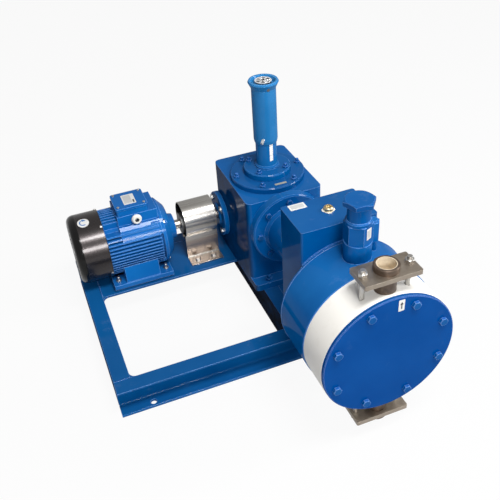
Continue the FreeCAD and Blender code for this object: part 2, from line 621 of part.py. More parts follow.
def terminal_parts():
    box_start = FRAME_END - TERMINAL_BASE[0] + TERMINAL_SETBACK
    box_x = (box_start, box_start + TERMINAL_BOX[0])
    box_y = about(MOTOR_Y + TERMINAL_BOX_SHIFT, TERMINAL_BOX[1])
    floor = SHAFT_Z + TERMINAL_BASE_TOP
    lid_bottom = SHAFT_Z + TERMINAL_TOP - LID_THICKNESS
    outside = rounded(block(box_x, box_y, (floor, lid_bottom)), 6, lambda edge: runs_along(edge, "z"))
    wall = TERMINAL_WALL
    inside = block((box_x[0] + wall, box_x[1] - wall), (box_y[0] + wall, box_y[1] - wall),
                   (floor + wall, lid_bottom + 1))
    lid = rounded(block((box_x[0] - 1, box_x[1] + 1), (box_y[0] - 1, box_y[1] + 1),
                        (lid_bottom, lid_bottom + LID_THICKNESS)), 6, lambda edge: runs_along(edge, "z"))
    screws = Bolts("z", lid_bottom + LID_THICKNESS, 1, 4, LID_THICKNESS + 4,
                   rectangle((sum(box_x) / 2, sum(box_y) / 2), TERMINAL_BOX[0] - 14, TERMINAL_BOX[1] - 14))
    posts = [rod("z", floor + wall - 1, lid_bottom, 6, place) for place in screws.places]
    box = screws.cut_from(joined([outside.cut(inside)] + posts))
    return box, screws.cut_from(lid), screws.solids()


def cable_gland():
    """Gland screwed into the near side of the terminal pad, pointing at the viewer."""
    axis = (FRAME_END - TERMINAL_BASE[0] + GLAND_FROM_PAD_END,
            SHAFT_Z + TERMINAL_BASE_TOP - GLAND_BELOW_PAD_TOP)
    face = MOTOR_Y - TERMINAL_BASE[1] / 2
    outline = [(face, GLAND_BORE), (face, GLAND_RADIUS - 3), (face - 6, GLAND_RADIUS - 3),
               (face - 6, GLAND_RADIUS), (face - GLAND_LENGTH + 5, GLAND_RADIUS),
               (face - GLAND_LENGTH, GLAND_RADIUS - 3), (face - GLAND_LENGTH, GLAND_BORE)]
    return turned("y", axis, outline)


def shield(inner_face, outer_face, hub_face, rim, outward):
    """An end shield with its bearing seat, spigot and hub; outward is +1 or -1 along X."""
    seat = BEARING_RADIUS
    mouth = SHAFT_RADIUS + 2.5
    bearing_end = inner_face + outward * 6
    bearing_start = bearing_end - outward * BEARING_WIDTH
    outline = [(inner_face, rim), (inner_face + outward * 8, rim), (outer_face, rim - 22),
               (outer_face, seat + 10), (hub_face, seat + 6), (hub_face, mouth), (bearing_end, mouth),
               (bearing_end, seat), (bearing_start, seat), (bearing_start, seat + 7),
               (inner_face - outward * 3, seat + 14), (inner_face - outward * 3, BARREL_BORE - 6),
               (inner_face - outward * 5, BARREL_BORE - 5), (inner_face - outward * 5, BARREL_BORE - FREE),
               (inner_face, BARREL_BORE - FREE)]
    return turned("x", MOTOR_AXIS, outline), (bearing_start, bearing_end)


def bearing(axis, span, outer, inner, across):
    """A sealed ball bearing, taken as one ring with a groove in each side face."""
    low, high = sorted(span)
    ring = tube(axis, low, high, outer, inner, across)
    mean = (outer + inner) / 2
    for start, end in ((low - 1, low + 0.8), (high - 0.8, high + 1)):
        groove = (outer - inner) / 5
        ring = ring.cut(tube(axis, start, end, mean + groove, mean - groove, across))
    return ring


def rounded_nose(start, radius, nose):
    """The outline of a rounded front edge, from the cylinder to the flat face."""
    turns = [math.radians(18 * step) for step in range(6)]
    return [(start + nose - nose * math.sin(turn), radius - nose + nose * math.cos(turn)) for turn in turns]


def fan_cowl():
    outside = rounded_nose(COWL_START, COWL_RADIUS, COWL_NOSE)
    inside = rounded_nose(COWL_START + COWL_WALL, COWL_RADIUS - COWL_WALL, COWL_NOSE - COWL_WALL)
    inside.reverse()
    shell = turned("x", MOTOR_AXIS, [(COWL_END, COWL_RADIUS)] + outside + [(COWL_START, 0)]
                   + [(COWL_START + COWL_WALL, 0)] + inside + [(COWL_END, COWL_RADIUS - COWL_WALL)])
    spoke = 7.0
    keep = []
    for k in range(3):
        bar = block((COWL_START - 1, COWL_START + COWL_WALL + 1), about(MOTOR_Y, 2 * COWL_RADIUS),
                    about(SHAFT_Z, spoke))
        bar.rotate(V(0, MOTOR_Y, SHAFT_Z), AXIS["x"], 60 * k + 30)
        keep.append(bar)
    for radius in COWL_SLOT_RINGS:
        ring = tube("x", COWL_START - 1, COWL_START + COWL_WALL + 1,
                    radius + COWL_SLOT_WIDTH / 2, radius - COWL_SLOT_WIDTH / 2, MOTOR_AXIS)
        for bar in keep:
            ring = ring.cut(bar)
        shell = shell.cut(ring)
    return shell


def cooling_fan():
    back = FRAME_START - FAN_SETBACK
    front = back - FAN_WIDTH
    hub = tube("x", front, back, FAN_HUB_RADIUS, REAR_SHAFT_RADIUS, MOTOR_AXIS)
    disc = tube("x", back - 4, back, FAN_RADIUS - 8, FAN_HUB_RADIUS - 1, MOTOR_AXIS)
    blades = []
    for k in range(FAN_BLADES):
        reach = (MOTOR_Y + FAN_HUB_RADIUS - 2, MOTOR_Y + FAN_RADIUS)
        blade = block((front, back - 2), reach, about(SHAFT_Z, 3))
        blade.rotate(V(0, MOTOR_Y, SHAFT_Z), AXIS["x"], 360.0 * k / FAN_BLADES)
        blades.append(blade)
    return joined([hub, disc] + blades)


def stator():
    middle = (FRAME_START + FRAME_END) / 2
    inner = ROTOR_RADIUS + AIR_GAP
    core = STACK_LENGTH / 2
    outline = [(middle - core, BARREL_BORE), (middle + core, BARREL_BORE), (middle + core, 58),
               (middle + core + 14, 56), (middle + core + 16, 50), (middle + core + 14, 44),
               (middle + core, inner), (middle - core, inner), (middle - core - 14, 44),
               (middle - core - 16, 50), (middle - core - 14, 56), (middle - core, 58)]
    return turned("x", MOTOR_AXIS, outline)


def rotor(drive_bearing, rear_bearing):
    middle = (FRAME_START + FRAME_END) / 2
    core = STACK_LENGTH / 2
    journal = BEARING_BORE - RUNNING
    shoulder = BEARING_BORE + 3
    tail = FRAME_START - FAN_SETBACK - FAN_WIDTH - 2
    small = REAR_SHAFT_RADIUS
    outline = [(tail, 0), (tail, small), (min(rear_bearing), small), (min(rear_bearing), journal),
               (max(rear_bearing) + FREE, journal), (max(rear_bearing) + FREE, shoulder),
               (middle - core, shoulder), (middle - core, ROTOR_RADIUS), (middle + core, ROTOR_RADIUS),
               (middle + core, shoulder), (min(drive_bearing) - FREE, shoulder),
               (min(drive_bearing) - FREE, journal), (SHAFT_SHOULDER_X, journal),
               (SHAFT_SHOULDER_X, SHAFT_RADIUS), (SHAFT_END, SHAFT_RADIUS), (SHAFT_END, 0)]
    return turned("x", MOTOR_AXIS, outline)


def motor():
    save("motor_frame", [motor_frame()])
    drive, drive_bearing = shield(FRAME_END, FRAME_END + SHIELD_DEPTH, SHAFT_SHOULDER_X - 6,
                                  FIN_RADIUS - 2, 1)
    rear, rear_bearing = shield(FRAME_START, FRAME_START - 12, FRAME_START - 18,
                                COWL_RADIUS - COWL_WALL, -1)
    for place in SHIELD_SCREWS.places:
        drive = drive.cut(rod("x", SHIELD_SCREWS.seat, SHAFT_SHOULDER_X, SPOTFACE_RADIUS, place))
    drive = SHIELD_SCREWS.cut_from(drive)
    save("drive_end_shield", [drive])
    save("rear_end_shield", [rear])
    save("fan_cowl", [fan_cowl()])
    box, lid, lid_screws = terminal_parts()
    save("terminal_box", [box])
    save("terminal_box_lid", [lid])
    save("cable_gland", [cable_gland()])
    save("stator", [stator()])
    save("motor_foot_bolts", MOTOR_BOLTS.solids() + MOTOR_BOLTS.nuts(CHANNEL_HEIGHT - FLANGE_THICKNESS))
    save("rotor", [rotor(drive_bearing, rear_bearing)])
    save("cooling_fan", [cooling_fan()])
    save("small_screws", lid_screws + SHIELD_SCREWS.solids() + GUARD_BOLTS.solids())
    return [bearing("x", drive_bearing, BEARING_RADIUS, BEARING_BORE, MOTOR_AXIS),
            bearing("x", rear_bearing, BEARING_RADIUS, BEARING_BORE, MOTOR_AXIS)]


def spider_arms(grow):
    arms = []
    start = SHAFT_END + 1
    for k in range(6):
        arm = block((start, start + JAW_LENGTH), (MOTOR_Y, MOTOR_Y + COUPLING_RADIUS - 1 + grow),
                    about(SHAFT_Z, SPIDER_ARM_WIDTH + 2 * grow))
        arm.rotate(V(0, MOTOR_Y, SHAFT_Z), AXIS["x"], 60.0 * k)
        arms.append(arm)
    return arms


def jaws(start, end, first):
    """Three of the six teeth between the spider's arms."""
    ring = tube("x", start, end, COUPLING_RADIUS, SPIDER_BORE + SPIDER_CORE + FREE, MOTOR_AXIS)
    teeth = []
    for k in range(3):
        centre = math.radians(first + 120.0 * k)
        reach = 2 * COUPLING_RADIUS
        corners = [(MOTOR_Y, SHAFT_Z)]
        for turn in (centre - math.radians(30), centre + math.radians(30)):
            corners.append((MOTOR_Y + reach * math.cos(turn), SHAFT_Z + reach * math.sin(turn)))
        tooth = ring.common(prism("x", start, end, corners))
        for arm in spider_arms(FREE):
            tooth = tooth.cut(arm)
        teeth.append(tooth)
    return teeth


def coupling():
    left = tube("x", MOTOR_HUB_START, SHAFT_END, COUPLING_RADIUS, SHAFT_RADIUS, MOTOR_AXIS)
    right = tube("x", GEAR_HUB_START, GEAR_HUB_END, COUPLING_RADIUS, SHAFT_RADIUS, MOTOR_AXIS)
    left = joined([left] + jaws(SHAFT_END, SHAFT_END + JAW_LENGTH, 30))
    right = joined([right] + jaws(GEAR_HUB_START - JAW_LENGTH, GEAR_HUB_START, 90))
    start = SHAFT_END + 1
    core = tube("x", start, start + JAW_LENGTH, SPIDER_BORE + SPIDER_CORE, SPIDER_BORE, MOTOR_AXIS)
    arms = [arm.cut(rod("x", start - 1, start + JAW_LENGTH + 1, SPIDER_BORE + SPIDER_CORE / 2, MOTOR_AXIS))
            for arm in spider_arms(0)]
    save("motor_coupling_hub", [left])
    save("gear_coupling_hub", [right])
    save("coupling_spider", [joined([core] + arms)])


def guard():
    """Rolled stainless drum over the coupling, open at both ends, on a folded sheet stand."""
    drum = tube("x", GUARD_START, GUARD_START + GUARD_LENGTH, GUARD_RADIUS, GUARD_RADIUS - GUARD_WALL,
                GUARD_AXIS)
    save("coupling_guard", [drum])

    span = about(STAND_X, STAND_LENGTH)
    back = STAND_Y + STAND_FOOT / 2
    foot_z = (CHANNEL_HEIGHT, CHANNEL_HEIGHT + STAND_THICKNESS)
    foot = block(span, (STAND_Y - STAND_FOOT / 2, back), foot_z)
    plate = block(span, (back - STAND_THICKNESS, back), (CHANNEL_HEIGHT, GUARD_AXIS[1]))
    shelf_top = GUARD_AXIS[1] - GUARD_RADIUS + 2
    shelf = block(span, (back - STAND_THICKNESS, MOTOR_Y), (shelf_top - STAND_THICKNESS, shelf_top))
    room = rod("x", span[0] - 1, span[1] + 1, GUARD_RADIUS, GUARD_AXIS)
    above = block((span[0] - 1, span[1] + 1), (MOTOR_Y - 2 * GUARD_RADIUS, MOTOR_Y + 1),
                  (GUARD_AXIS[1] - GUARD_RADIUS / 2, GUARD_AXIS[1] + 1))
    stand = joined([foot, plate, shelf]).cut(room).cut(above)
    stand = max(stand.Solids, key=lambda solid: solid.Volume)
    save("guard_stand", [GUARD_BOLTS.cut_from(stand)])


def gearbox_housing():
    box_x = (GEARBOX_LEFT, GEARBOX_RIGHT)
    box_y = (GEARBOX_FRONT_Y, GEARBOX_REAR_Y)
    outside = block(box_x, box_y, (CHANNEL_HEIGHT, GEARBOX_TOP))
    outside = rounded(outside, GEARBOX_CORNER, lambda edge: runs_along(edge, "z"))
    feet = block(box_x, (GEAR_FEET_FRONT, GEAR_FEET_REAR), (CHANNEL_HEIGHT, CHANNEL_HEIGHT + FOOT_FLANGE))
    feet = rounded(feet, 10, lambda edge: runs_along(edge, "z"))
    worm_tube = rod("x", GEARBOX_LEFT, GEARBOX_RIGHT, WORM_TUBE_RADIUS, WORM_AXIS)
    shell = joined([outside, feet, worm_tube])

    wall = GEARBOX_WALL
    room_floor = CHANNEL_HEIGHT + wall
    room = block((box_x[0] + wall, box_x[1] - wall), (box_y[0] + wall, box_y[1] - wall),
                 (room_floor, GEARBOX_TOP - wall))
    bearing_left = GEARBOX_LEFT + WORM_BEARING_WIDTH + 2
    bearing_right = GEARBOX_RIGHT - WORM_BEARING_WIDTH - wall
    worm_room = rod("x", bearing_left, bearing_right, WORM_ROOM_RADIUS, WORM_AXIS)
    blocks = [block((box_x[0], bearing_left), about(WORM_Y, 2 * WORM_ROOM_RADIUS),
                    about(SHAFT_Z, 2 * WORM_ROOM_RADIUS)),
              block((bearing_right, box_x[1]), about(WORM_Y, 2 * WORM_ROOM_RADIUS),
                    about(SHAFT_Z, 2 * WORM_ROOM_RADIUS))]
    for solid in blocks:
        room = room.cut(solid)
    boss = rod("z", room_floor, wheel_bearing_top(), WHEEL_BOSS_RADIUS, GEAR_AXIS)
    shell = shell.cut(room.cut(boss)).cut(worm_room)
    bores = [rod("x", GEARBOX_LEFT - 1, bearing_left + 1, WORM_BEARING_RADIUS, WORM_AXIS),
             rod("x", bearing_right - 1, bearing_right + WORM_BEARING_WIDTH, WORM_BEARING_RADIUS, WORM_AXIS),
             rod("z", GEARBOX_TOP - wall - 1, GEARBOX_TOP + 1, COVER_OPENING, GEAR_AXIS),
             rod("y", GEARBOX_FRONT_Y - 1, GEARBOX_FRONT_Y + wall + 1, GUIDE_SPIGOT_RADIUS, PUMP_AXIS),
             rod("z", room_floor + 3, wheel_bearing_top() + 1, WHEEL_BEARING_RADIUS, GEAR_AXIS)]
    for bore in bores:
        shell = shell.cut(bore)
    for bolts in (GEAR_FOOT_BOLTS, INPUT_BOLTS, TOP_BOLTS, GUIDE_SCREWS):
        shell = bolts.cut_from(shell)
    return shell


def wheel_bearing_top():
    return SHAFT_Z - WHEEL_WIDTH / 2 - 7


def input_flange():
    left = GEARBOX_LEFT - INPUT_FLANGE_THICKNESS
    hub = left - INPUT_HUB_LENGTH
    spigot = GEARBOX_LEFT + 2
    mouth = WORM_BEARING_BORE - 2.5
    outline = [(hub, mouth), (hub, INPUT_HUB_RADIUS), (left, INPUT_HUB_RADIUS + 3),
               (left, INPUT_FLANGE_RADIUS - 1), (left + 1, INPUT_FLANGE_RADIUS),
               (GEARBOX_LEFT, INPUT_FLANGE_RADIUS), (GEARBOX_LEFT, WORM_BEARING_RADIUS - FREE),
               (spigot, WORM_BEARING_RADIUS - FREE), (spigot, WORM_BEARING_BORE + 5),
               (left + 4, WORM_BEARING_BORE + 5), (left + 4, mouth)]
    return INPUT_BOLTS.cut_from(turned("x", WORM_AXIS, outline))


def worm_shaft():
    """Input shaft with the worm, in mesh with the wheel at the centre distance."""
    left_bearing = GEARBOX_LEFT + 2
    right_bearing = GEARBOX_RIGHT - WORM_BEARING_WIDTH - GEARBOX_WALL
    journal = WORM_BEARING_BORE - RUNNING
    seal = WORM_BEARING_BORE - 2.5 - RUNNING
    worm = about(GEAR_X, WORM_LENGTH)
    outline = [(GEAR_HUB_START, 0), (GEAR_HUB_START, SHAFT_RADIUS),
               (GEAR_HUB_END, SHAFT_RADIUS), (GEAR_HUB_END, seal),
               (GEARBOX_LEFT - INPUT_FLANGE_THICKNESS + 5, seal),
               (GEARBOX_LEFT - INPUT_FLANGE_THICKNESS + 5, journal),
               (left_bearing + WORM_BEARING_WIDTH + FREE, journal),
               (left_bearing + WORM_BEARING_WIDTH + FREE, journal + 2), (worm[0], journal + 2),
               (worm[0], WORM_RADIUS), (worm[1], WORM_RADIUS), (worm[1], journal + 2),
               (right_bearing - FREE, journal + 2), (right_bearing - FREE, journal),
               (right_bearing + WORM_BEARING_WIDTH - 1, journal),
               (right_bearing + WORM_BEARING_WIDTH - 1, 0)]
    return turned("x", WORM_AXIS, outline)


def worm_wheel():
    """Bronze wheel with throated rim, web and a hub bored for the crank spindle."""
    half = WHEEL_WIDTH / 2
    web = WHEEL_WEB / 2
    neck_bottom = CHANNEL_HEIGHT + GEARBOX_WALL + 3 + FREE
    hub_top = eccentric_span()[0] - FREE
    bore = CRANK_LOWER_RADIUS + RUNNING
    neck = WHEEL_NECK_RADIUS - RUNNING
    shoulder = wheel_bearing_top() + FREE
    rim = WHEEL_ROOT_RADIUS - 10
    outline = [(neck_bottom, bore), (neck_bottom, neck), (shoulder, neck), (shoulder, HUB_RADIUS),
               (SHAFT_Z - web, HUB_RADIUS), (SHAFT_Z - web, rim), (SHAFT_Z - half, rim),
               (SHAFT_Z - half, WHEEL_TIP_RADIUS), (SHAFT_Z + half, WHEEL_TIP_RADIUS),
               (SHAFT_Z + half, rim), (SHAFT_Z + web, rim), (SHAFT_Z + web, HUB_RADIUS),
               (hub_top, HUB_RADIUS), (hub_top, bore)]
    wheel = turned("z", GEAR_AXIS, outline)
    pitch = 360.0 / WHEEL_TEETH
    gap = WHEEL_TIP_RADIUS * math.pi / WHEEL_TEETH
    gaps = []
    for k in range(WHEEL_TEETH):
        corners = [(GEAR_X + WHEEL_ROOT_RADIUS, WHEEL_Y - gap * 0.32),
                   (GEAR_X + WHEEL_TIP_RADIUS + 2, WHEEL_Y - gap * 0.62),
                   (GEAR_X + WHEEL_TIP_RADIUS + 2, WHEEL_Y + gap * 0.62),
                   (GEAR_X + WHEEL_ROOT_RADIUS, WHEEL_Y + gap * 0.32)]
        slot = prism("z", SHAFT_Z - half - 1, SHAFT_Z + half + 1, corners)
        slot.rotate(V(GEAR_X, WHEEL_Y, 0), AXIS["z"], (k + 0.5) * pitch)
        gaps.append(slot)
    return wheel.cut(Part.makeCompound(gaps))


def eccentric_span():
    return about(PUMP_Z, ECCENTRIC_HEIGHT)


def crank_bar(low, high, grow):
    """The sloped square bar of the crank spindle between two heights."""
    zero = PUMP_Z + STROKE_TRAVEL
    half = CRANK_BAR / 2 + grow
    corners = []
    for height, side in ((low, -1), (low, 1), (high, 1), (high, -1)):
        offset = GEAR_X - (height - zero) * CRANK_SLOPE
        corners.append((offset + side * half, height))
    return prism("y", WHEEL_Y - half, WHEEL_Y + half, corners)


def crank():
    low, high = eccentric_span()
    bar_low = low - 7
    bar_high = high + STROKE_TRAVEL + 4
    stem_low = bar_low - STROKE_TRAVEL - 14
    collar_floor = crank_top()
    spindle = joined([crank_bar(bar_low, bar_high, 0),
                      rod("z", stem_low, bar_low, CRANK_LOWER_RADIUS, GEAR_AXIS),
                      rod("z", bar_high, collar_floor, CRANK_UPPER_RADIUS, GEAR_AXIS)])
    save("crank_spindle", [spindle])
    disc = rod("z", low, high, ECCENTRIC_RADIUS, (GEAR_X + MAX_THROW, WHEEL_Y))
    save("eccentric", [disc.cut(crank_bar(low - 1, high + 1, RUNNING))])


def crank_top():
    """Height of the crank spindle's upper end, in the sliding collar, at full stroke."""
    return DISC_TOP + STROKE_TRAVEL + 12


def connecting_rod():
    inner = ECCENTRIC_RADIUS + STRAP_CLEARANCE
    outer = inner + STRAP_WALL
    height = about(PUMP_Z, STRAP_HEIGHT)
    strap = rod("z", height[0], height[1], outer, GEAR_AXIS)
    eye = rod("z", height[0], height[1], PIN_EYE_RADIUS, (GEAR_X, PIN_Y))
    shank = block(about(GEAR_X, ROD_WIDTH), (PIN_Y, WHEEL_Y - inner), about(PUMP_Z, STRAP_HEIGHT - 6))
    solid = joined([strap, eye, shank])
    solid = solid.cut(rod("z", height[0] - 1, height[1] + 1, inner, GEAR_AXIS))
    return solid.cut(rod("z", height[0] - 1, height[1] + 1, PIN_RADIUS + RUNNING, (GEAR_X, PIN_Y)))


def crosshead_parts():
    span = (PIN_Y - CROSSHEAD_LENGTH / 2, PIN_Y + CROSSHEAD_LENGTH / 2)
    body = rod("y", span[0], span[1], CROSSHEAD_RADIUS - RUNNING, PUMP_AXIS)
    slot = block(about(GEAR_X, 2 * CROSSHEAD_RADIUS + 2), (PIN_Y - PIN_EYE_RADIUS - 2, span[1] + 1),
                 about(PUMP_Z, STRAP_HEIGHT + 2 * FREE))
    pin_span = about(PUMP_Z, 2 * CROSSHEAD_RADIUS - 16)
    pin = rod("z", pin_span[0], pin_span[1], PIN_RADIUS, (GEAR_X, PIN_Y))
    body = body.cut(slot).cut(pin)
    plunger = rod("y", BOX_FRONT - PLUNGER_REACH, span[0], PLUNGER_RADIUS, PUMP_AXIS)
    save("crosshead", [body])
    save("gudgeon_pin", [pin])
    save("plunger", [plunger])
    save("connecting_rod", [connecting_rod()])


def gearbox():
    save("gearbox_housing", [gearbox_housing()])
    save("input_flange", [input_flange()])
    save("worm_shaft", [worm_shaft()])
    save("worm_wheel", [worm_wheel()])
    save("gearbox_foot_bolts",
         GEAR_FOOT_BOLTS.solids() + GEAR_FOOT_BOLTS.nuts(CHANNEL_HEIGHT - FLANGE_THICKNESS))
    bore = CRANK_UPPER_RADIUS + RUNNING
    cover = turned("z", GEAR_AXIS, [(GEARBOX_TOP, bore), (GEARBOX_TOP, COVER_RADIUS),
                                    (COVER_TOP - 2, COVER_RADIUS), (COVER_TOP, COVER_RADIUS - 2),
                                    (COVER_TOP, bore)])
    save("gearbox_cover", [DISC_SCREWS.cut_from(TOP_BOLTS.cut_from(cover))])
    save("gearbox_bolts", INPUT_BOLTS.solids() + TOP_BOLTS.solids() + DISC_SCREWS.solids()
         + GUIDE_SCREWS.solids())
    crank()
    crosshead_parts()
    left = (GEARBOX_LEFT + 2, GEARBOX_LEFT + 2 + WORM_BEARING_WIDTH)
    right_start = GEARBOX_RIGHT - WORM_BEARING_WIDTH - GEARBOX_WALL
    right = (right_start, right_start + WORM_BEARING_WIDTH)
    low = CHANNEL_HEIGHT + GEARBOX_WALL + 3
    high = wheel_bearing_top()
    return [bearing("x", left, WORM_BEARING_RADIUS, WORM_BEARING_BORE, WORM_AXIS),
            bearing("x", right, WORM_BEARING_RADIUS, WORM_BEARING_BORE, WORM_AXIS),
            bearing("z", (low, low + WHEEL_BEARING_WIDTH), WHEEL_BEARING_RADIUS,
                    WHEEL_NECK_RADIUS, GEAR_AXIS),
            bearing("z", (high - WHEEL_BEARING_WIDTH, high), WHEEL_BEARING_RADIUS,
                    WHEEL_NECK_RADIUS, GEAR_AXIS)]


def stroke_adjuster():
    """Fixed column, sliding collar, screwed spindle and the sleeve that turns it."""
    nut_bottom = COLUMN_TOP - COLUMN_NUT_HEIGHT
    outline = [(COVER_TOP, COLUMN_BORE), (COVER_TOP, DISC_RADIUS), (DISC_TOP - 2, DISC_RADIUS),
               (DISC_TOP, DISC_RADIUS - 2), (DISC_TOP, COLUMN_COLLAR_RADIUS),
               (DISC_TOP + COLUMN_COLLAR_HEIGHT - 3, COLUMN_COLLAR_RADIUS),
               (DISC_TOP + COLUMN_COLLAR_HEIGHT, COLUMN_RADIUS), (COLUMN_TOP, COLUMN_RADIUS),
               (COLUMN_TOP, SPINDLE_RADIUS + RUNNING), (nut_bottom, SPINDLE_RADIUS + RUNNING),
               (nut_bottom, COLUMN_BORE)]
    save("adjuster_column", [DISC_SCREWS.cut_from(turned("z", GEAR_AXIS, outline))])

    collar_low = crank_top() - 10
    collar_top = crank_top() + 8
    collar = rod("z", collar_low, collar_top, COLUMN_BORE - RUNNING, GEAR_AXIS)
    cup = rod("z", collar_low - 1, crank_top() + FREE, CRANK_UPPER_RADIUS + RUNNING, GEAR_AXIS)
    save("lift_collar", [collar.cut(cup)])

    plug_top = SLEEVE_TOP - SLEEVE_RECESS_DEPTH
    spindle = turned("z", GEAR_AXIS, [(collar_top + FREE, 0), (collar_top + FREE, SPINDLE_RADIUS),
                                      (plug_top, SPINDLE_RADIUS), (plug_top, DIAL_RADIUS),
                                      (plug_top + DIAL_HEIGHT, DIAL_RADIUS - 1),
                                      (plug_top + DIAL_HEIGHT, SPINDLE_RADIUS - 1),
                                      (plug_top + DIAL_HEIGHT + 3, SPINDLE_RADIUS - 1),
                                      (plug_top + DIAL_HEIGHT + 3, 0)])
    save("stroke_spindle", [spindle])

    inner = COLUMN_RADIUS + FREE
    plug_bottom = plug_top - SLEEVE_PLUG_HEIGHT
    flare_start = SLEEVE_TOP - SLEEVE_FLARE_HEIGHT
    outline = [(SLEEVE_BOTTOM, inner), (SLEEVE_BOTTOM, SLEEVE_RADIUS - 1.5),
               (SLEEVE_BOTTOM + 8, SLEEVE_RADIUS), (flare_start, SLEEVE_RADIUS),
               (SLEEVE_TOP - 4, SLEEVE_FLARE_RADIUS),
               (SLEEVE_TOP, SLEEVE_FLARE_RADIUS - 2), (SLEEVE_TOP, SLEEVE_RECESS_RADIUS + 2),
               (plug_top, SLEEVE_RECESS_RADIUS - 4), (plug_top, SPINDLE_RADIUS),
               (plug_bottom, SPINDLE_RADIUS), (plug_bottom, inner)]
    sleeve = turned("z", GEAR_AXIS, outline)
    screw_z = plug_bottom + SLEEVE_PLUG_HEIGHT / 2
    near = WHEEL_Y - SLEEVE_RADIUS
    screw = rod("y", near - 1.5, WHEEL_Y - SPINDLE_RADIUS - FREE, LOCK_SCREW_RADIUS, (GEAR_X, screw_z))
    sleeve = sleeve.cut(rod("y", near - 20, WHEEL_Y - SPINDLE_RADIUS, LOCK_SCREW_RADIUS, (GEAR_X, screw_z)))
    save("stroke_sleeve", [sleeve])
    save("lock_screw", [screw])


def crosshead_guide():
    flange_front = GUIDE_REAR - GUIDE_FLANGE_THICKNESS
    spigot = GUIDE_REAR + GEARBOX_WALL
    bore_end = PIN_Y - CROSSHEAD_LENGTH / 2 - MAX_THROW - 4
    throat = GLAND_SLEEVE_RADIUS
    outline = [(spigot, CROSSHEAD_RADIUS), (spigot, GUIDE_SPIGOT_RADIUS - FREE),
               (GUIDE_REAR, GUIDE_SPIGOT_RADIUS - FREE), (GUIDE_REAR, GUIDE_FLANGE_RADIUS),
               (flange_front + 3, GUIDE_FLANGE_RADIUS), (flange_front, GUIDE_FLANGE_RADIUS - 3),
               (flange_front, GUIDE_NECK_RADIUS + 6), (flange_front - 8, GUIDE_NECK_RADIUS),
               (GUIDE_FRONT, GUIDE_NECK_RADIUS), (GUIDE_FRONT, throat), (bore_end, throat),
               (bore_end, CROSSHEAD_RADIUS)]
    return GUIDE_SCREWS.cut_from(turned("y", PUMP_AXIS, outline))


def hydraulic_box():
    span_x = about(BOX_X, BOX_WIDTH)
    outside = block(span_x, (BOX_FRONT, GUIDE_FRONT), (BOX_BOTTOM, BOX_TOP))
    outside = rounded(outside, 5, lambda edge: runs_along(edge, "z"))
    room = block((span_x[0] + BOX_WALL, span_x[1] - BOX_WALL),
                 (BOX_FRONT + BOX_WALL, GUIDE_FRONT - BOX_WALL),
                 (BOX_BOTTOM + BOX_WALL, BOX_TOP - BOX_WALL))
    passage = rod("y", BOX_FRONT - 1, GUIDE_FRONT + 1, GLAND_FLANGE_RADIUS + FREE, PUMP_AXIS)
    filler = rod("z", BOX_TOP - BOX_WALL - 1, BOX_TOP + 1, FILLER_RADIUS - 3, filler_axis())
    return outside.cut(room).cut(passage).cut(filler)


def filler_axis():
    return (BOX_X, BOX_FRONT + BOX_DEPTH / 2)


def filler_plug():
    low = BOX_TOP - BOX_WALL
    stem = FILLER_RADIUS - 3
    top = BOX_TOP + FILLER_HEIGHT
    outline = [(low, 0), (low, stem), (BOX_TOP, stem), (BOX_TOP, FILLER_RADIUS),
               (top - 2, FILLER_RADIUS), (top, FILLER_RADIUS - 2), (top, FILLER_RADIUS - 5),
               (top - 3, FILLER_RADIUS - 5), (top - 3, 0)]
    return turned("z", filler_axis(), outline)


def plunger_gland():
    """Flanged liner with the packing, between the oil box and the hydraulic chamber."""
    flange = BOX_FRONT + GLAND_FLANGE_THICKNESS
    outline = [(flange, PLUNGER_RADIUS + RUNNING), (flange, GLAND_FLANGE_RADIUS),
               (BOX_FRONT, GLAND_FLANGE_RADIUS), (BOX_FRONT, GLAND_SLEEVE_RADIUS),
               (BOX_FRONT - PACKING_DEPTH, GLAND_SLEEVE_RADIUS),
               (BOX_FRONT - PACKING_DEPTH, PLUNGER_RADIUS + RUNNING)]
    return turned("y", PUMP_AXIS, outline)


def hydraulic_cylinder():
    back, front = BOX_FRONT, CYLINDER_FRONT
    chamber_start = back - PACKING_DEPTH
    edge = CYLINDER_CHAMFER
    outline = [(back, GLAND_SLEEVE_RADIUS), (back, CYLINDER_RADIUS - edge), (back - edge, CYLINDER_RADIUS),
               (front + 1, CYLINDER_RADIUS), (front, CYLINDER_RADIUS - 1), (front, DISH_RADIUS),
               (front + DISH_DEPTH, CHAMBER_RADIUS + 10), (front + DISH_DEPTH, CHAMBER_RADIUS),
               (chamber_start - 6, CHAMBER_RADIUS), (chamber_start - 6, GLAND_SLEEVE_RADIUS)]
    body = turned("y", PUMP_AXIS, outline)
    bosses = [rod("z", PUMP_Z + CHAMBER_RADIUS + 20, RELIEF_BOSS_TOP, RELIEF_BOSS_RADIUS, RELIEF_AXIS),
              rod("z", PUMP_Z + CHAMBER_RADIUS + 20, REFILL_BOSS_TOP, REFILL_BOSS_RADIUS, REFILL_AXIS)]
    body = joined([body] + bosses)
    body = body.cut(rod("z", PUMP_Z + CHAMBER_RADIUS - 4, RELIEF_BOSS_TOP + 1, 5, RELIEF_AXIS))
    return HEAD_SCREWS.cut_from(body)


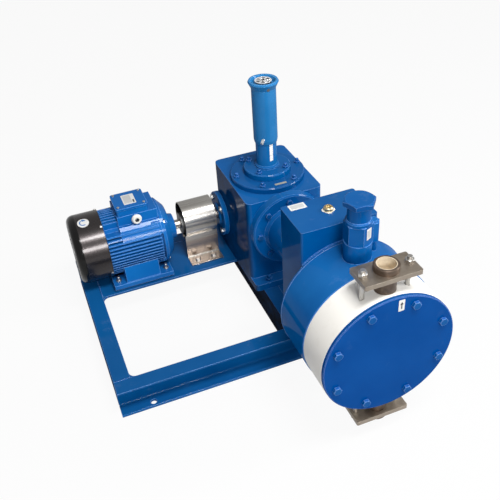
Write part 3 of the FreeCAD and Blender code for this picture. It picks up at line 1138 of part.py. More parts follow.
def relief_valve():
    """Hexagonal relief valve with its cap, the smaller refill valve, and the poppet."""
    top = RELIEF_BOSS_TOP + RELIEF_HEIGHT
    neck_top = top + RELIEF_NECK_HEIGHT
    body = hexagon("z", RELIEF_BOSS_TOP, top, RELIEF_FLATS, RELIEF_AXIS, RELIEF_TURN)
    collar_radius, collar_height = RELIEF_COLLAR
    collar_top = top + collar_height
    collar = turned("z", RELIEF_AXIS, [(top - 1, 0), (top - 1, collar_radius),
                                       (collar_top - 2, collar_radius), (collar_top, collar_radius - 2),
                                       (collar_top, 0)])
    body = joined([body, collar, rod("z", top - 1, neck_top, RELIEF_NECK_RADIUS, RELIEF_AXIS)])
    seat = RELIEF_BOSS_TOP + 12
    body = body.cut(rod("z", seat, neck_top + 1, RELIEF_BORE, RELIEF_AXIS))
    body = body.cut(rod("z", RELIEF_BOSS_TOP - 1, seat + 1, 5, RELIEF_AXIS))

    cap = hexagon("z", neck_top, neck_top + RELIEF_CAP_HEIGHT, RELIEF_CAP_FLATS, RELIEF_AXIS,
                  RELIEF_CAP_TURN)
    bevel = turned("z", RELIEF_AXIS, [(neck_top, 0), (neck_top, RELIEF_CAP_FLATS),
                                      (neck_top + RELIEF_CAP_HEIGHT - 3, RELIEF_CAP_FLATS / math.sqrt(3)),
                                      (neck_top + RELIEF_CAP_HEIGHT, RELIEF_CAP_FLATS / 2 - 1),
                                      (neck_top + RELIEF_CAP_HEIGHT, 0)])
    cap = cap.common(bevel)

    refill_top = REFILL_BOSS_TOP + REFILL_HEIGHT
    refill = hexagon("z", REFILL_BOSS_TOP, refill_top, REFILL_FLATS, REFILL_AXIS, 0)
    refill = joined([refill, rod("z", refill_top - 1, refill_top + REFILL_CAP_RISE,
                                 REFILL_FLATS / 2 - 3, REFILL_AXIS)])
    save("hydraulic_valve_bodies", [body, refill])
    save("relief_valve_cap", [cap])

    guide = RELIEF_BORE - RUNNING
    poppet = turned("z", RELIEF_AXIS, [(seat + FREE, 0), (seat + FREE, POPPET_RADIUS - 2),
                                       (seat + 4, POPPET_RADIUS), (seat + 14, POPPET_RADIUS),
                                       (seat + 14, guide), (seat + 30, guide), (seat + 30, 6),
                                       (neck_top - POPPET_LIFT - FREE, 6),
                                       (neck_top - POPPET_LIFT - FREE, 0)])
    save("relief_poppet", [poppet])


def liquid_head():
    """White plastic head: pump chamber behind, valve pockets above and below."""
    back, front = CYLINDER_FRONT, HEAD_FRONT
    step = back - DIAPHRAGM_THICKNESS
    outline = [(back, HEAD_RADIUS), (front, HEAD_RADIUS), (front, 0), (step - DISH_DEPTH, 0),
               (step - DISH_DEPTH, CHAMBER_RADIUS), (step, DISH_RADIUS), (step, DIAPHRAGM_RADIUS + FREE),
               (back, DIAPHRAGM_RADIUS + FREE)]
    head = turned("y", PUMP_AXIS, outline)
    pocket = valve_foot()
    for side in (-1, 1):
        centre = PUMP_Z
        head = head.cut(rod("z", centre + side * pocket, centre + side * (HEAD_RADIUS + 5),
                            VALVE_RADIUS, VALVE_AXIS))
        head = head.cut(rod("z", centre, centre + side * (pocket + 1), SEAT_BORE, VALVE_AXIS))
        for place in stud_places():
            head = head.cut(rod("z", centre + side * (stud_foot() - 1), centre + side * (HEAD_RADIUS + 5),
                                STUD_THREAD / 2 + BOLT_CLEARANCE / 2, place))
    link = rod("y", VALVE_Y, step - 1, SEAT_BORE, (GEAR_X, PUMP_Z))
    return HEAD_SCREWS.cut_from(head.cut(link))


def valve_foot():
    """Distance from the pump axis to the foot of each valve pocket."""
    return PLATE_TOP_HEIGHT + NOZZLE_HEIGHT - VALVE_SEAT_DEPTH - 20


def stud_places():
    return [(GEAR_X - STUD_PITCH / 2, VALVE_Y), (GEAR_X + STUD_PITCH / 2, VALVE_Y)]


def stud_foot():
    return math.sqrt(HEAD_RADIUS ** 2 - (STUD_PITCH / 2) ** 2) - 16


def valve_body(side):
    """One nozzle: pocket end, ball seat, ball room and the collar outside the plate."""
    def height(distance):
        return PUMP_Z + side * distance
    foot = valve_foot()
    plate = PLATE_TOP_HEIGHT
    top = plate + NOZZLE_HEIGHT
    body = turned("z", VALVE_AXIS, [(height(foot), 0), (height(foot), VALVE_RADIUS),
                                    (height(plate), VALVE_RADIUS), (height(plate), NOZZLE_RADIUS),
                                    (height(top - 1.5), NOZZLE_RADIUS), (height(top), NOZZLE_RADIUS - 1.5),
                                    (height(top), 0)])
    ball = ball_height(side)
    reach = math.sqrt(BALL_RADIUS ** 2 - SEAT_BORE ** 2) + FREE
    body = body.cut(rod("z", height(foot - 1), height(top + 1), SEAT_BORE, VALVE_AXIS))
    body = body.cut(rod("z", ball - reach, ball + BALL_LIFT + reach, VALVE_BORE, VALVE_AXIS))
    return body.cut(rod("z", height(top - 28), height(top + 1), NOZZLE_BORE, VALVE_AXIS))


def ball_height(side):
    return PUMP_Z + side * (valve_foot() + 26) - (BALL_LIFT / 2)


def valves():
    for name, side in (("discharge", 1), ("suction", -1)):
        save(name + "_valve_body", [valve_body(side)])
        outer_face = PUMP_Z + side * PLATE_TOP_HEIGHT
        plate_z = sorted((outer_face, outer_face - side * PLATE_THICKNESS))
        plate = block(about(GEAR_X, PLATE_SIZE[0]), about(VALVE_Y, PLATE_SIZE[1]), plate_z)
        plate = rounded(plate, 3, lambda edge: runs_along(edge, "z"))
        plate = plate.cut(rod("z", plate_z[0] - 1, plate_z[1] + 1, VALVE_RADIUS + FREE, VALVE_AXIS))
        for place in stud_places():
            hole_radius = (STUD_THREAD + BOLT_CLEARANCE) / 2
            plate = plate.cut(rod("z", plate_z[0] - 1, plate_z[1] + 1, hole_radius, place))
        save(name + "_flange_plate", [plate])
        ball = Part.makeSphere(BALL_RADIUS, point("z", ball_height(side), VALVE_AXIS))
        save(name + "_ball", [ball])
    studs = []
    for side in (-1, 1):
        face = PUMP_Z + side * PLATE_TOP_HEIGHT
        end = face + side * (STUD_THREAD * NUT_HEIGHT + 6)
        for place in stud_places():
            stud = rod("z", PUMP_Z + side * stud_foot(), end, STUD_THREAD / 2, place)
            nut_end = face + side * NUT_HEIGHT * STUD_THREAD
            nut = hexagon_head("z", face, nut_end, HEAD_FLATS * STUD_THREAD, place)
            studs.append(joined([stud, nut]))
    save("nozzle_studs", studs)


def liquid_end():
    save("crosshead_guide", [crosshead_guide()])
    save("hydraulic_box", [hydraulic_box()])
    save("oil_filler_plug", [filler_plug()])
    save("plunger_gland", [plunger_gland()])
    save("hydraulic_cylinder", [hydraulic_cylinder()])
    relief_valve()
    diaphragm = rod("y", CYLINDER_FRONT - DIAPHRAGM_THICKNESS, CYLINDER_FRONT, DIAPHRAGM_RADIUS, PUMP_AXIS)
    save("diaphragm", [HEAD_SCREWS.cut_from(diaphragm)])
    save("liquid_head", [liquid_head()])
    edge = 1.5
    cover = turned("y", PUMP_AXIS, [(HEAD_FRONT, 0), (HEAD_FRONT, FRONT_COVER_RADIUS),
                                    (COVER_FRONT + edge, FRONT_COVER_RADIUS),
                                    (COVER_FRONT, FRONT_COVER_RADIUS - edge), (COVER_FRONT, 0)])
    save("front_cover", [HEAD_SCREWS.cut_from(cover)])
    save("front_cover_bolts", HEAD_SCREWS.solids())
    valves()


def main():
    os.makedirs("parts", exist_ok=True)
    skid()
    bearings = motor()
    coupling()
    guard()
    bearings += gearbox()
    stroke_adjuster()
    liquid_end()
    save("shaft_bearings", bearings)


main()
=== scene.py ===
import json
import math
import random

import bmesh
import bpy
from mathutils import Matrix, Vector


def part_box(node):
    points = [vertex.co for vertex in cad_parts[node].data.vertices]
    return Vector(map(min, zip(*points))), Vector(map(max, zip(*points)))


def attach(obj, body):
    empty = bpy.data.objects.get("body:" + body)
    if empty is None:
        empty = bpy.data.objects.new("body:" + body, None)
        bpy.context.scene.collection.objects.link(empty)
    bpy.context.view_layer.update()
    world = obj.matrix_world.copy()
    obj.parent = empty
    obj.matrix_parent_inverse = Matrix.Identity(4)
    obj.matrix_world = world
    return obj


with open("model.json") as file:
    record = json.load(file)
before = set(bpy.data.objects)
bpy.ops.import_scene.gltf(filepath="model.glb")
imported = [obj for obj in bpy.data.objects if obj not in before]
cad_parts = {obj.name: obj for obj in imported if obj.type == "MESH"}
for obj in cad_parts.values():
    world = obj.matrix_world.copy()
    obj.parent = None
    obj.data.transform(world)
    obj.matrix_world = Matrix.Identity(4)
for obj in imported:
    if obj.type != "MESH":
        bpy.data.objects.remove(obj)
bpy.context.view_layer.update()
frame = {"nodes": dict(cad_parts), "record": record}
random.seed(7)

MM = 0.001
X, Y, Z = Vector((1, 0, 0)), Vector((0, 1, 0)), Vector((0, 0, 1))

# A Mix node's colour sockets are found by number, because its other kinds of socket share their names
MIX_FROM, MIX_TO, MIX_RESULT = 6, 7, 2


def middle(node):
    low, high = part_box(node)
    return (low + high) / 2


def around(turn, first=X, second=Y):
    """The direction at an angle, counted from the first axis towards the second."""
    return first * math.cos(turn) + second * math.sin(turn)


class Value:
    """A socket of a node tree; Python's operators on it add the Math nodes."""

    def __init__(self, nodes, socket):
        self.nodes = nodes
        self.socket = socket

    def maths(self, operation, first, second=0.0, clamp=False):
        return self.nodes.node("ShaderNodeMath", {"operation": operation, "use_clamp": clamp},
                               {0: first, 1: second})

    def __add__(self, other):
        return self.maths("ADD", self, other)

    def __radd__(self, other):
        return self.maths("ADD", other, self)

    def __sub__(self, other):
        return self.maths("SUBTRACT", self, other)

    def __rsub__(self, other):
        return self.maths("SUBTRACT", other, self)

    def __mul__(self, other):
        return self.maths("MULTIPLY", self, other)

    def __rmul__(self, other):
        return self.maths("MULTIPLY", other, self)

    def clipped(self):
        return self.maths("MULTIPLY", self, 1.0, clamp=True)

    def ramp(self, start, end):
        """A mask: 0 up to the start, 1 past the end, even between them. It may also run downward."""
        return self.maths("MULTIPLY", self - start, 1 / (end - start), clamp=True)

    def wave(self):
        return self.maths("SINE", self)


class Nodes:
    """The node tree of a material or of the world, with one way to add any node."""

    def __init__(self, tree):
        self.tree = tree

    def node(self, kind, settings, sockets, output=0):
        """Adds a node: its settings first, then the values or links of its sockets. Gives one output."""
        made = self.tree.nodes.new(kind)
        for name, value in settings.items():
            setattr(made, name, value)
        for name, value in sockets.items():
            if isinstance(value, Value):
                self.tree.links.new(value.socket, made.inputs[name])
            else:
                made.inputs[name].default_value = value
        return Value(self, made.outputs[output])

    def ready(self, node_name, **constants):
        """The output of a node that the tree came with, after constants are set on its sockets."""
        node = self.tree.nodes[node_name]
        for socket, value in constants.items():
            node.inputs[socket.replace("_", " ")].default_value = value
        return Value(self, node.outputs[0])

    def lead(self, value, node_name, socket):
        """Leads a value to a node that the tree came with."""
        self.tree.links.new(value.socket, self.tree.nodes[node_name].inputs[socket])

    def seen_plain(self, lit, plain, camera_share, mirror_share):
        """The lit surface, seen as the plain one by the camera and by reflections, each by its share."""
        camera_ray = self.node("ShaderNodeLightPath", {}, {}, "Is Camera Ray")
        mirror_ray = self.node("ShaderNodeLightPath", {}, {}, "Is Glossy Ray")
        share = (camera_share * camera_ray + mirror_share * mirror_ray).clipped()
        return self.node("ShaderNodeMixShader", {}, {0: share, 1: lit, 2: plain})


class Finish(Nodes):
    """A material being mixed round its shader."""

    def __init__(self, name, **constants):
        self.material = bpy.data.materials.new(name)
        self.material.use_nodes = True
        super().__init__(self.material.node_tree)
        self.shader = self.ready("Principled BSDF", **constants)

    def feed(self, socket, value):
        self.lead(value, "Principled BSDF", socket)

    def place(self):
        return self.node("ShaderNodeTexCoord", {}, {}, "Object")

    def along(self, axis):
        """The place along one axis of the object, in metres."""
        return self.node("ShaderNodeSeparateXYZ", {}, {0: self.place()}, axis)

    def noise(self, scale, detail=3.0, rough=0.55, stretch=(1, 1, 1)):
        """Grey noise between 0 and 1; scale is in features per metre."""
        where = self.node("ShaderNodeMapping", {}, {"Vector": self.place(), "Scale": stretch})
        return self.node("ShaderNodeTexNoise", {},
                         {"Vector": where, "Scale": scale, "Detail": detail, "Roughness": rough})

    def shade(self, mask, first, second):
        """A colour that goes from the first to the second as the mask goes from 0 to 1."""
        ends = [colour if isinstance(colour, Value) else (*colour, 1) for colour in (first, second)]
        return self.node("ShaderNodeMix", {"data_type": "RGBA"},
                         {0: mask, MIX_FROM: ends[0], MIX_TO: ends[1]}, MIX_RESULT)

    def facing(self, axis, sign=1):
        """A mask of the surface that faces along an axis, or against it where the sign is -1."""
        normal = self.node("ShaderNodeNewGeometry", {}, {}, "True Normal")
        share = self.node("ShaderNodeSeparateXYZ", {}, {0: normal}, axis)
        return (sign * share).ramp(0.55, 0.95)

    def rounded_normals(self, radius):
        return self.node("ShaderNodeBevel", {"samples": 4}, {"Radius": radius})

    def edges(self, soft):
        """A mask of the edges, where the rounded normals turn away from the true ones."""
        hard = self.node("ShaderNodeNewGeometry", {}, {}, "Normal")
        same = self.node("ShaderNodeVectorMath", {"operation": "DOT_PRODUCT"},
                         {0: soft, 1: hard}, "Value")
        return same.ramp(1.0, 0.8)

    def relief(self, height, depth, normal):
        """Raises the surface by a height between 0 and 1 times the depth, on top of its normals."""
        sockets = {"Height": height, "Distance": depth, "Strength": 1.0, "Normal": normal}
        self.feed("Normal", self.node("ShaderNodeBump", {}, sockets))


def paler(colour, share):
    return [share + (1 - share) * part for part in colour]


# Colours of the blue paint: deep and light are the two ends of its clouds; the third lies on its tops,
# dust together with a painted sheen of the light from above
BLUE_DEEP, BLUE_LIGHT, BLUE_DUST_AND_SHEEN = (0.0, 0.056, 0.225), (0.0, 0.090, 0.295), (0.010, 0.080, 0.240)
CAST_DEEP, CAST_LIGHT = (0.0, 0.066, 0.262), (0.002, 0.128, 0.400)
BOLT_DUST_AND_SHEEN = (0.02, 0.10, 0.36)
PLATED_DARK, PLATED_BRIGHT = (0.42, 0.41, 0.39), (0.72, 0.72, 0.70)


def enamel(name, deep=BLUE_DEEP, light=BLUE_LIGHT, dust_and_sheen=BLUE_DUST_AND_SHEEN, rough=0.22, grain=260,
           grain_depth=0.03 * MM, wear_and_highlight=0.55, coat=0.24, bare_left_of=None, lower=None, left_shade=None):
    """Brushed-on machine enamel: clouded colour, dull tops with scuffs, dust and a painted sheen on the
    tops, and lighter rounded edges for worn paint and painted highlights. grain is how many brush marks
    there are per metre. bare_left_of is the place along X left of which plated steel shows. lower holds a
    height and the colour of the paint below it. The colour given for walls that face left is painted
    shade, laid on them in patches."""
    paint = Finish(name, Coat_Roughness=0.05, Specular_IOR_Level=0.0)
    clouds = paint.noise(9)
    fine = paint.noise(70, detail=4)
    scuffs = paint.noise(24, detail=5, rough=0.7)
    top = paint.facing("Z")
    colour = paint.shade(clouds.ramp(3 / 16, 13 / 16), deep, light)
    if lower is not None:
        height, lower_colour = lower
        colour = paint.shade(paint.along("Z").ramp(height, height - 2 * MM), colour, lower_colour)
    # Walls that face left are darkened in patches: painted shade
    if left_shade is not None:
        left_shade_mask = paint.facing("X", -1) * (0.45 + 0.9 * scuffs).clipped()
        colour = paint.shade(left_shade_mask, colour, left_shade)
    # Tops turn greyer: dust, and a painted sheen of the light from above
    colour = paint.shade(top * (0.35 + 0.5 * clouds), colour, dust_and_sheen)
    scuffed = scuffs.ramp(0.6, 0.6 + 1 / 6) * (0.12 + 0.30 * top)
    colour = paint.shade(scuffed, colour, paler(dust_and_sheen, 0.06))
    soft = paint.rounded_normals(2 * MM)
    edge = paint.edges(soft)
    # Rounded edges turn lighter: worn paint, and painted highlights where edges would catch the light
    edge_colour = [min(1, 0.18 + 1.5 * part) for part in light]
    colour = paint.shade(edge * (wear_and_highlight * (0.5 + fine)), colour, edge_colour)
    roughness = rough + 0.14 * fine + 0.12 * top
    if bare_left_of is not None:
        plated = paint.along("X").ramp(bare_left_of, bare_left_of - 0.5 * MM)
        colour = paint.shade(plated, colour, paint.shade(fine, PLATED_DARK, PLATED_BRIGHT))
        roughness = roughness + 0.05 * plated
        paint.feed("Metallic", plated)
    paint.feed("Base Color", colour)
    paint.feed("Roughness", roughness)
    paint.feed("Coat Weight", coat * (0.6 + 0.8 * clouds))
    paint.relief(paint.noise(grain), grain_depth, soft)
    return paint.material


def bare_steel(name, dark, bright, rough, scale, stretch=(1, 1, 1), streak=0.5):
    """Bare or plated steel with fine streaks along the direction that is stretched least."""
    steel = Finish(name, Metallic=1.0)
    lines = steel.noise(scale, detail=4, rough=0.65, stretch=stretch)
    stains = steel.noise(14)
    soft = steel.rounded_normals(0.8 * MM)
    edge = steel.edges(soft)
    colour = steel.shade((lines * streak + stains * (1.3 - streak) - 0.15).clipped(), dark, bright)
    edge_colour = [min(1, 1.25 * part) for part in bright]
    steel.feed("Base Color", steel.shade(edge * 0.5, colour, edge_colour))
    steel.feed("Roughness", rough + 0.2 * lines)
    steel.relief(lines, 0.03 * MM, soft)
    return steel.material


def guard_sheet():
    """Brushed stainless sheet with brown stains on the upright of its stand."""
    sheet = Finish("brushed_stainless", Metallic=1.0)
    lines = sheet.noise(300, detail=2, rough=0.5, stretch=(0.05, 1, 1))
    stains = sheet.noise(14, rough=0.5, stretch=(0.25, 1, 1))
    height = sheet.along("Z")
    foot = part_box("guard_stand")[0].z + 6 * MM
    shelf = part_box("coupling_guard")[0].z + 5 * MM
    upright = height.ramp(foot, foot + 2.5 * MM) * height.ramp(shelf, shelf - 12.5 * MM)
    brushed = (lines * 0.35 + stains * 1.3 - 0.35).clipped()
    colour = sheet.shade(brushed, (0.30, 0.28, 0.25), (0.78, 0.76, 0.73))
    colour = sheet.shade(upright * (0.45 + 0.5 * stains), colour, (0.40, 0.29, 0.22))
    soft = sheet.rounded_normals(0.8 * MM)
    edge = sheet.edges(soft)
    sheet.feed("Base Color", sheet.shade(edge * 0.6, colour, (0.82, 0.80, 0.77)))
    sheet.feed("Roughness", 0.24 + 0.05 * lines)
    sheet.relief(lines, 0.001 * MM, soft)
    return sheet.material


def plastic(name, first, second, rough, cloud_scale, grain, grain_depth, **constants):
    """Moulded plastic or rubber, clouded between two colours."""
    part = Finish(name, **constants)
    clouds = part.noise(cloud_scale)
    soft = part.rounded_normals(1 * MM)
    edge = part.edges(soft)
    part.feed("Base Color", part.shade(clouds.ramp(1 / 6, 5 / 6), first, second))
    part.feed("Roughness", rough + 0.15 * part.noise(60) - 0.1 * edge)
    part.relief(part.noise(grain), grain_depth, soft)
    return part.material


def gloss_black():
    """Black stove enamel on the fan cowl: the rounded nose is kept dead black as painted shade, and the
    side behind it is lighter and metallic, a painted sheen.
    """
    cowl = Finish("gloss_black", Coat_Weight=0.3, Coat_Roughness=0.1, Specular_IOR_Level=0.1)
    clouds = cowl.noise(25, detail=4)
    nose_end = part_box("fan_cowl")[0].x + 19 * MM
    side = cowl.along("X").ramp(nose_end, nose_end + 2 * MM)
    soft = cowl.rounded_normals(2 * MM)
    edge = cowl.edges(soft)
    # Dead-black nose and lighter metallic side: painted shade and a painted sheen on one black paint
    colour = cowl.shade(side, (0.003, 0.003, 0.003), (0.052, 0.046, 0.046))
    cowl.feed("Base Color", cowl.shade(edge * 0.4 + clouds * 0.08, colour, (0.05, 0.048, 0.047)))
    cowl.feed("Metallic", side * 0.9)
    cowl.feed("Roughness", 0.16 + 0.08 * side + 0.06 * clouds)
    cowl.relief(cowl.noise(120), 0.03 * MM, soft)
    return cowl.material


def turned_white():
    """White plastic turned on a lathe: faint grooves round the pump's axis and a few grease marks."""
    head = Finish("turned_white", Specular_IOR_Level=0.45)
    clouds = head.noise(8)
    stains = head.noise(45, detail=4)
    colour = head.shade(clouds.ramp(1 / 7, 6 / 7), (0.84, 0.81, 0.75), (0.90, 0.885, 0.85))
    grease = stains.ramp(7 / 12, 11 / 12) * 0.35
    head.feed("Base Color", head.shade(grease, colour, (0.60, 0.54, 0.44)))
    head.feed("Roughness", 0.36 + 0.14 * stains)
    soft = head.rounded_normals(1.2 * MM)
    head.relief(head.noise(900, detail=2, rough=0.5, stretch=(0.04, 1, 0.04)), 0.05 * MM, soft)
    return head.material


def nozzle_finish(axis):
    """Steel collar outside, coloured brown-black as a painted reflection of dark surroundings; worn beige
    plastic in the bore; axis is a point on the bore's axis.
    """
    nozzle = Finish("nozzle_two_tone")
    bore_rim = 18.6 * MM
    place = nozzle.place()
    across = nozzle.node("ShaderNodeVectorMath", {"operation": "SUBTRACT"}, {0: place, 1: axis})
    level = nozzle.node("ShaderNodeVectorMath", {"operation": "MULTIPLY"}, {0: across, 1: (1, 1, 0)})
    radius = nozzle.node("ShaderNodeVectorMath", {"operation": "LENGTH"}, {0: level}, "Value")
    outside = radius.ramp(bore_rim, bore_rim + 1.1 * MM)
    grain = nozzle.noise(160, detail=4)
    beige = nozzle.shade(grain, (0.50, 0.40, 0.28), (0.80, 0.70, 0.54))
    # The collar's brown-black is a painted reflection on its steel
    dark = nozzle.shade(grain, (0.055, 0.038, 0.028), (0.17, 0.125, 0.095))
    nozzle.feed("Base Color", nozzle.shade(outside, beige, dark))
    nozzle.feed("Metallic", outside * 0.7)
    nozzle.feed("Roughness", 0.46 - 0.14 * outside + 0.15 * grain)
    soft = nozzle.rounded_normals(0.8 * MM)
    nozzle.relief(grain, 0.04 * MM, soft)
    return nozzle.material


def scale_strip_finish():
    """White scale with a short dark mark every 5 mm and a longer one every 25."""
    strip = Finish("scale_strip", Coat_Weight=0.3, Coat_Roughness=0.1)
    height = strip.along("Z")
    scale_middle = middle("adjuster_column").x + 3.5 * MM
    right_half = strip.along("X").ramp(scale_middle, scale_middle + 0.25 * MM)
    short_marks = (height * (math.tau / (5 * MM))).wave().ramp(0.90, 0.90 + 1 / 12)
    long_marks = (height * (math.tau / (25 * MM))).wave().ramp(0.985, 0.985 + 1 / 60)
    marks = (short_marks * right_half + long_marks).clipped()
    specks = strip.noise(120)
    white = strip.shade(specks, (0.80, 0.80, 0.77), (0.88, 0.88, 0.86))
    strip.feed("Base Color", strip.shade(marks * 0.8, white, (0.05, 0.05, 0.06)))
    strip.feed("Roughness", 0.3 + 0.15 * specks)
    return strip.material


def glazed(name, colour, rough=0.15):
    """Smooth glaze or printed foil with faint specks."""
    part = Finish(name, Coat_Weight=0.4, Coat_Roughness=0.06)
    specks = part.noise(90)
    part.feed("Base Color", part.shade(specks * 0.4, colour, [0.7 * share for share in colour]))
    part.feed("Roughness", rough + 0.1 * specks)
    return part.material


# Finishes
BLUE = enamel("machine_blue")
SKID_BLUE = enamel("skid_blue", deep=(0.0, 0.062, 0.220), light=(0.003, 0.106, 0.325),
                   dust_and_sheen=(0.006, 0.082, 0.250), rough=0.26, grain=180, grain_depth=0.06 * MM, wear_and_highlight=1.3)
CAST_BLUE = enamel("cast_blue", CAST_DEEP, CAST_LIGHT, dust_and_sheen=(0.012, 0.115, 0.340), rough=0.20,
                   grain=150, grain_depth=0.05 * MM, wear_and_highlight=0.8)
# The gearbox housing gets painted shade in patches on its walls that face left
HOUSING_BLUE = enamel("housing_blue", CAST_DEEP, CAST_LIGHT, dust_and_sheen=(0.010, 0.090, 0.280), rough=0.20,
                      grain=150, grain_depth=0.05 * MM, wear_and_highlight=0.8, left_shade=(0.0, 0.030, 0.110))
# Dull paint for the gearbox cross members, with near-black painted shade in patches on walls that face
# left
DULL_LEFT_SHADED_BLUE = enamel("dull_blue_left_shaded", rough=0.30, grain=200, grain_depth=0.08 * MM, wear_and_highlight=0.5, coat=0.04,
                    left_shade=(0.005, 0.008, 0.016))
BOLT_BLUE = enamel("painted_bolts", dust_and_sheen=BOLT_DUST_AND_SHEEN, rough=0.20, wear_and_highlight=0.8,
                   bare_left_of=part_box("input_flange")[0].x + 13 * MM)
# Strongly lightened edges on nuts and weld beads: worn paint, and painted highlights
WEAR_AND_HIGHLIGHT_BLUE = enamel("nut_blue_wear_and_highlight", dust_and_sheen=BOLT_DUST_AND_SHEEN, rough=0.20, grain_depth=0.05 * MM, wear_and_highlight=1.8)
COVER_BLUE = enamel("front_cover_blue", deep=(0.0, 0.048, 0.222), light=(0.0, 0.064, 0.272), rough=0.26,
                    grain=200, grain_depth=0.02 * MM, wear_and_highlight=1.5, coat=0.12)
SLEEVE_BLUE = enamel("hammered_blue", deep=(0.010, 0.130, 0.340), light=(0.025, 0.190, 0.450),
                     dust_and_sheen=(0.05, 0.20, 0.42), rough=0.18, grain=190, grain_depth=0.05 * MM)
COLUMN_BLUE = enamel("column_blue", deep=(0.004, 0.105, 0.320), light=(0.012, 0.150, 0.410), rough=0.18,
                     grain=190, grain_depth=0.05 * MM,
                     lower=(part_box("adjuster_column")[0].z + 23 * MM, BLUE_LIGHT))
MOTOR_BLUE = enamel("motor_blue", deep=(0.002, 0.100, 0.370), light=(0.010, 0.160, 0.480),
                    dust_and_sheen=(0.008, 0.095, 0.320), grain=300, grain_depth=0.04 * MM, wear_and_highlight=1.1, coat=0.34)
GUARD_STEEL = guard_sheet()
ZINC = bare_steel("zinc_plate", (0.34, 0.32, 0.29), (0.70, 0.69, 0.67), rough=0.26, scale=260)
GROUND = bare_steel("ground_steel", (0.30, 0.27, 0.24), (0.56, 0.52, 0.48), rough=0.18, scale=500,
                    stretch=(0.1, 1, 1))
PLATE = bare_steel("cast_stainless", (0.21, 0.172, 0.137), (0.50, 0.435, 0.36), rough=0.32, scale=90,
                   streak=0.6)
BRASS = bare_steel("brass", (0.46, 0.36, 0.20), (0.80, 0.68, 0.42), rough=0.22, scale=180)
IRON = bare_steel("machined_iron", (0.10, 0.10, 0.10), (0.26, 0.26, 0.26), rough=0.34, scale=200)
BRONZE = bare_steel("bronze", (0.45, 0.26, 0.09), (0.74, 0.50, 0.22), rough=0.26, scale=140)
CHROME = bare_steel("bright_chrome", (0.52, 0.54, 0.56), (0.84, 0.86, 0.88), rough=0.05, scale=60)
BLACK = gloss_black()
WHITE = turned_white()
PALE_PLASTIC = plastic("pale_gland", (0.70, 0.69, 0.62), (0.84, 0.83, 0.78), rough=0.30, cloud_scale=60,
                       grain=300, grain_depth=0.03 * MM)
RED_RUBBER = plastic("red_elastomer", (0.42, 0.05, 0.03), (0.55, 0.08, 0.05), rough=0.55,
                     cloud_scale=40, grain=400, grain_depth=0.05 * MM)
BLACK_RUBBER = plastic("black_sheet_rubber", (0.012, 0.012, 0.012), (0.03, 0.03, 0.03), rough=0.65,
                       cloud_scale=40, grain=700, grain_depth=0.08 * MM)
WINDINGS = plastic("varnished_windings", (0.20, 0.12, 0.06), (0.34, 0.20, 0.10), rough=0.40,
                   cloud_scale=60, grain=500, grain_depth=0.15 * MM)
DIAL = plastic("bright_dial", (0.64, 0.65, 0.66), (0.86, 0.87, 0.88), rough=0.10, cloud_scale=80,
               grain=400, grain_depth=0.01 * MM, Metallic=0.5)
CERAMIC = glazed("white_ceramic", (0.86, 0.85, 0.81))
LABEL = glazed("label_white", (0.70, 0.70, 0.68), rough=0.3)
LABEL_GREY = glazed("label_grey", (0.50, 0.51, 0.51), rough=0.3)
LABEL_DARK = glazed("label_ink", (0.03, 0.03, 0.035), rough=0.4)
LABEL_BLUE = glazed("label_blue", (0.04, 0.16, 0.42), rough=0.3)
LABEL_TAN = glazed("label_tan", (0.34, 0.33, 0.27), rough=0.35)
SCALE = scale_strip_finish()

SLOT_FINISH = {
    "blue_paint": BLUE,
    "motor_paint": MOTOR_BLUE,
    "black_paint": BLACK,
    "gland_plastic": PALE_PLASTIC,
    "laminated_steel": WINDINGS,
    "zinc_steel": ZINC,
    "ground_steel": GROUND,
    "cast_iron": IRON,
    "red_rubber": RED_RUBBER,
    "black_rubber": BLACK_RUBBER,
    "stainless": GUARD_STEEL,
    "bronze": BRONZE,
    "white_plastic": WHITE,
    "plate_steel": PLATE,
    "ceramic": CERAMIC,
    "nozzle_plastic": nozzle_finish(middle("discharge_valve_body")),
}

# Nodes whose finish differs from that of their material slot
NODE_FINISH = {
    "gearbox_bolts": BOLT_BLUE,
    "gearbox_foot_bolts": BLUE,
    "gearbox_housing": HOUSING_BLUE,
    "gearbox_cross_members": DULL_LEFT_SHADED_BLUE,
    "front_cover": COVER_BLUE,
    "front_cover_bolts": WEAR_AND_HIGHLIGHT_BLUE,
    "oil_filler_plug": BRASS,
    "adjuster_column": COLUMN_BLUE,
    "stroke_sleeve": SLEEVE_BLUE,
    "lock_screw": IRON,
}
for casting in ("input_flange", "crosshead_guide", "hydraulic_cylinder", "hydraulic_valve_bodies"):
    NODE_FINISH[casting] = CAST_BLUE
for channel in ("front_rail", "rear_rail", "motor_rail", "left_cross_member"):
    NODE_FINISH[channel] = SKID_BLUE

# Every node gets its own finish, or else that of its material slot
for entry in frame["record"]["subparts"]:
    node = entry["node"]
    mesh = frame["nodes"][node].data
    mesh.materials.clear()
    mesh.materials.append(NODE_FINISH.get(node, SLOT_FINISH[entry["material_slot"]]))


def added(name, mesh_data, finish, body="pump_frame"):
    """A finished mesh put into the scene, riding on a body."""
    bmesh.ops.recalc_face_normals(mesh_data, faces=mesh_data.faces)
    mesh = bpy.data.meshes.new(name)
    mesh_data.to_mesh(mesh)
    mesh_data.free()
    mesh.materials.append(finish)
    piece = bpy.data.objects.new(name, mesh)
    bpy.context.scene.collection.objects.link(piece)
    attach(piece, body)
    return piece


def smoothed(piece, degrees=35):
    """Smooth shading, with every edge sharper than the angle kept crisp."""
    for face in piece.data.polygons:
        face.use_smooth = True
    keep = piece.modifiers.new("crisp_edges", "EDGE_SPLIT")
    keep.split_angle = math.radians(degrees)


def frame_on(origin, normal, up):
    """A matrix whose Z is the normal and whose Y is as near to up as it can be."""
    normal = normal.normalized()
    across = up.cross(normal).normalized()
    up = normal.cross(across)
    turn = Matrix((across, up, normal)).transposed().to_4x4()
    return Matrix.Translation(origin) @ turn


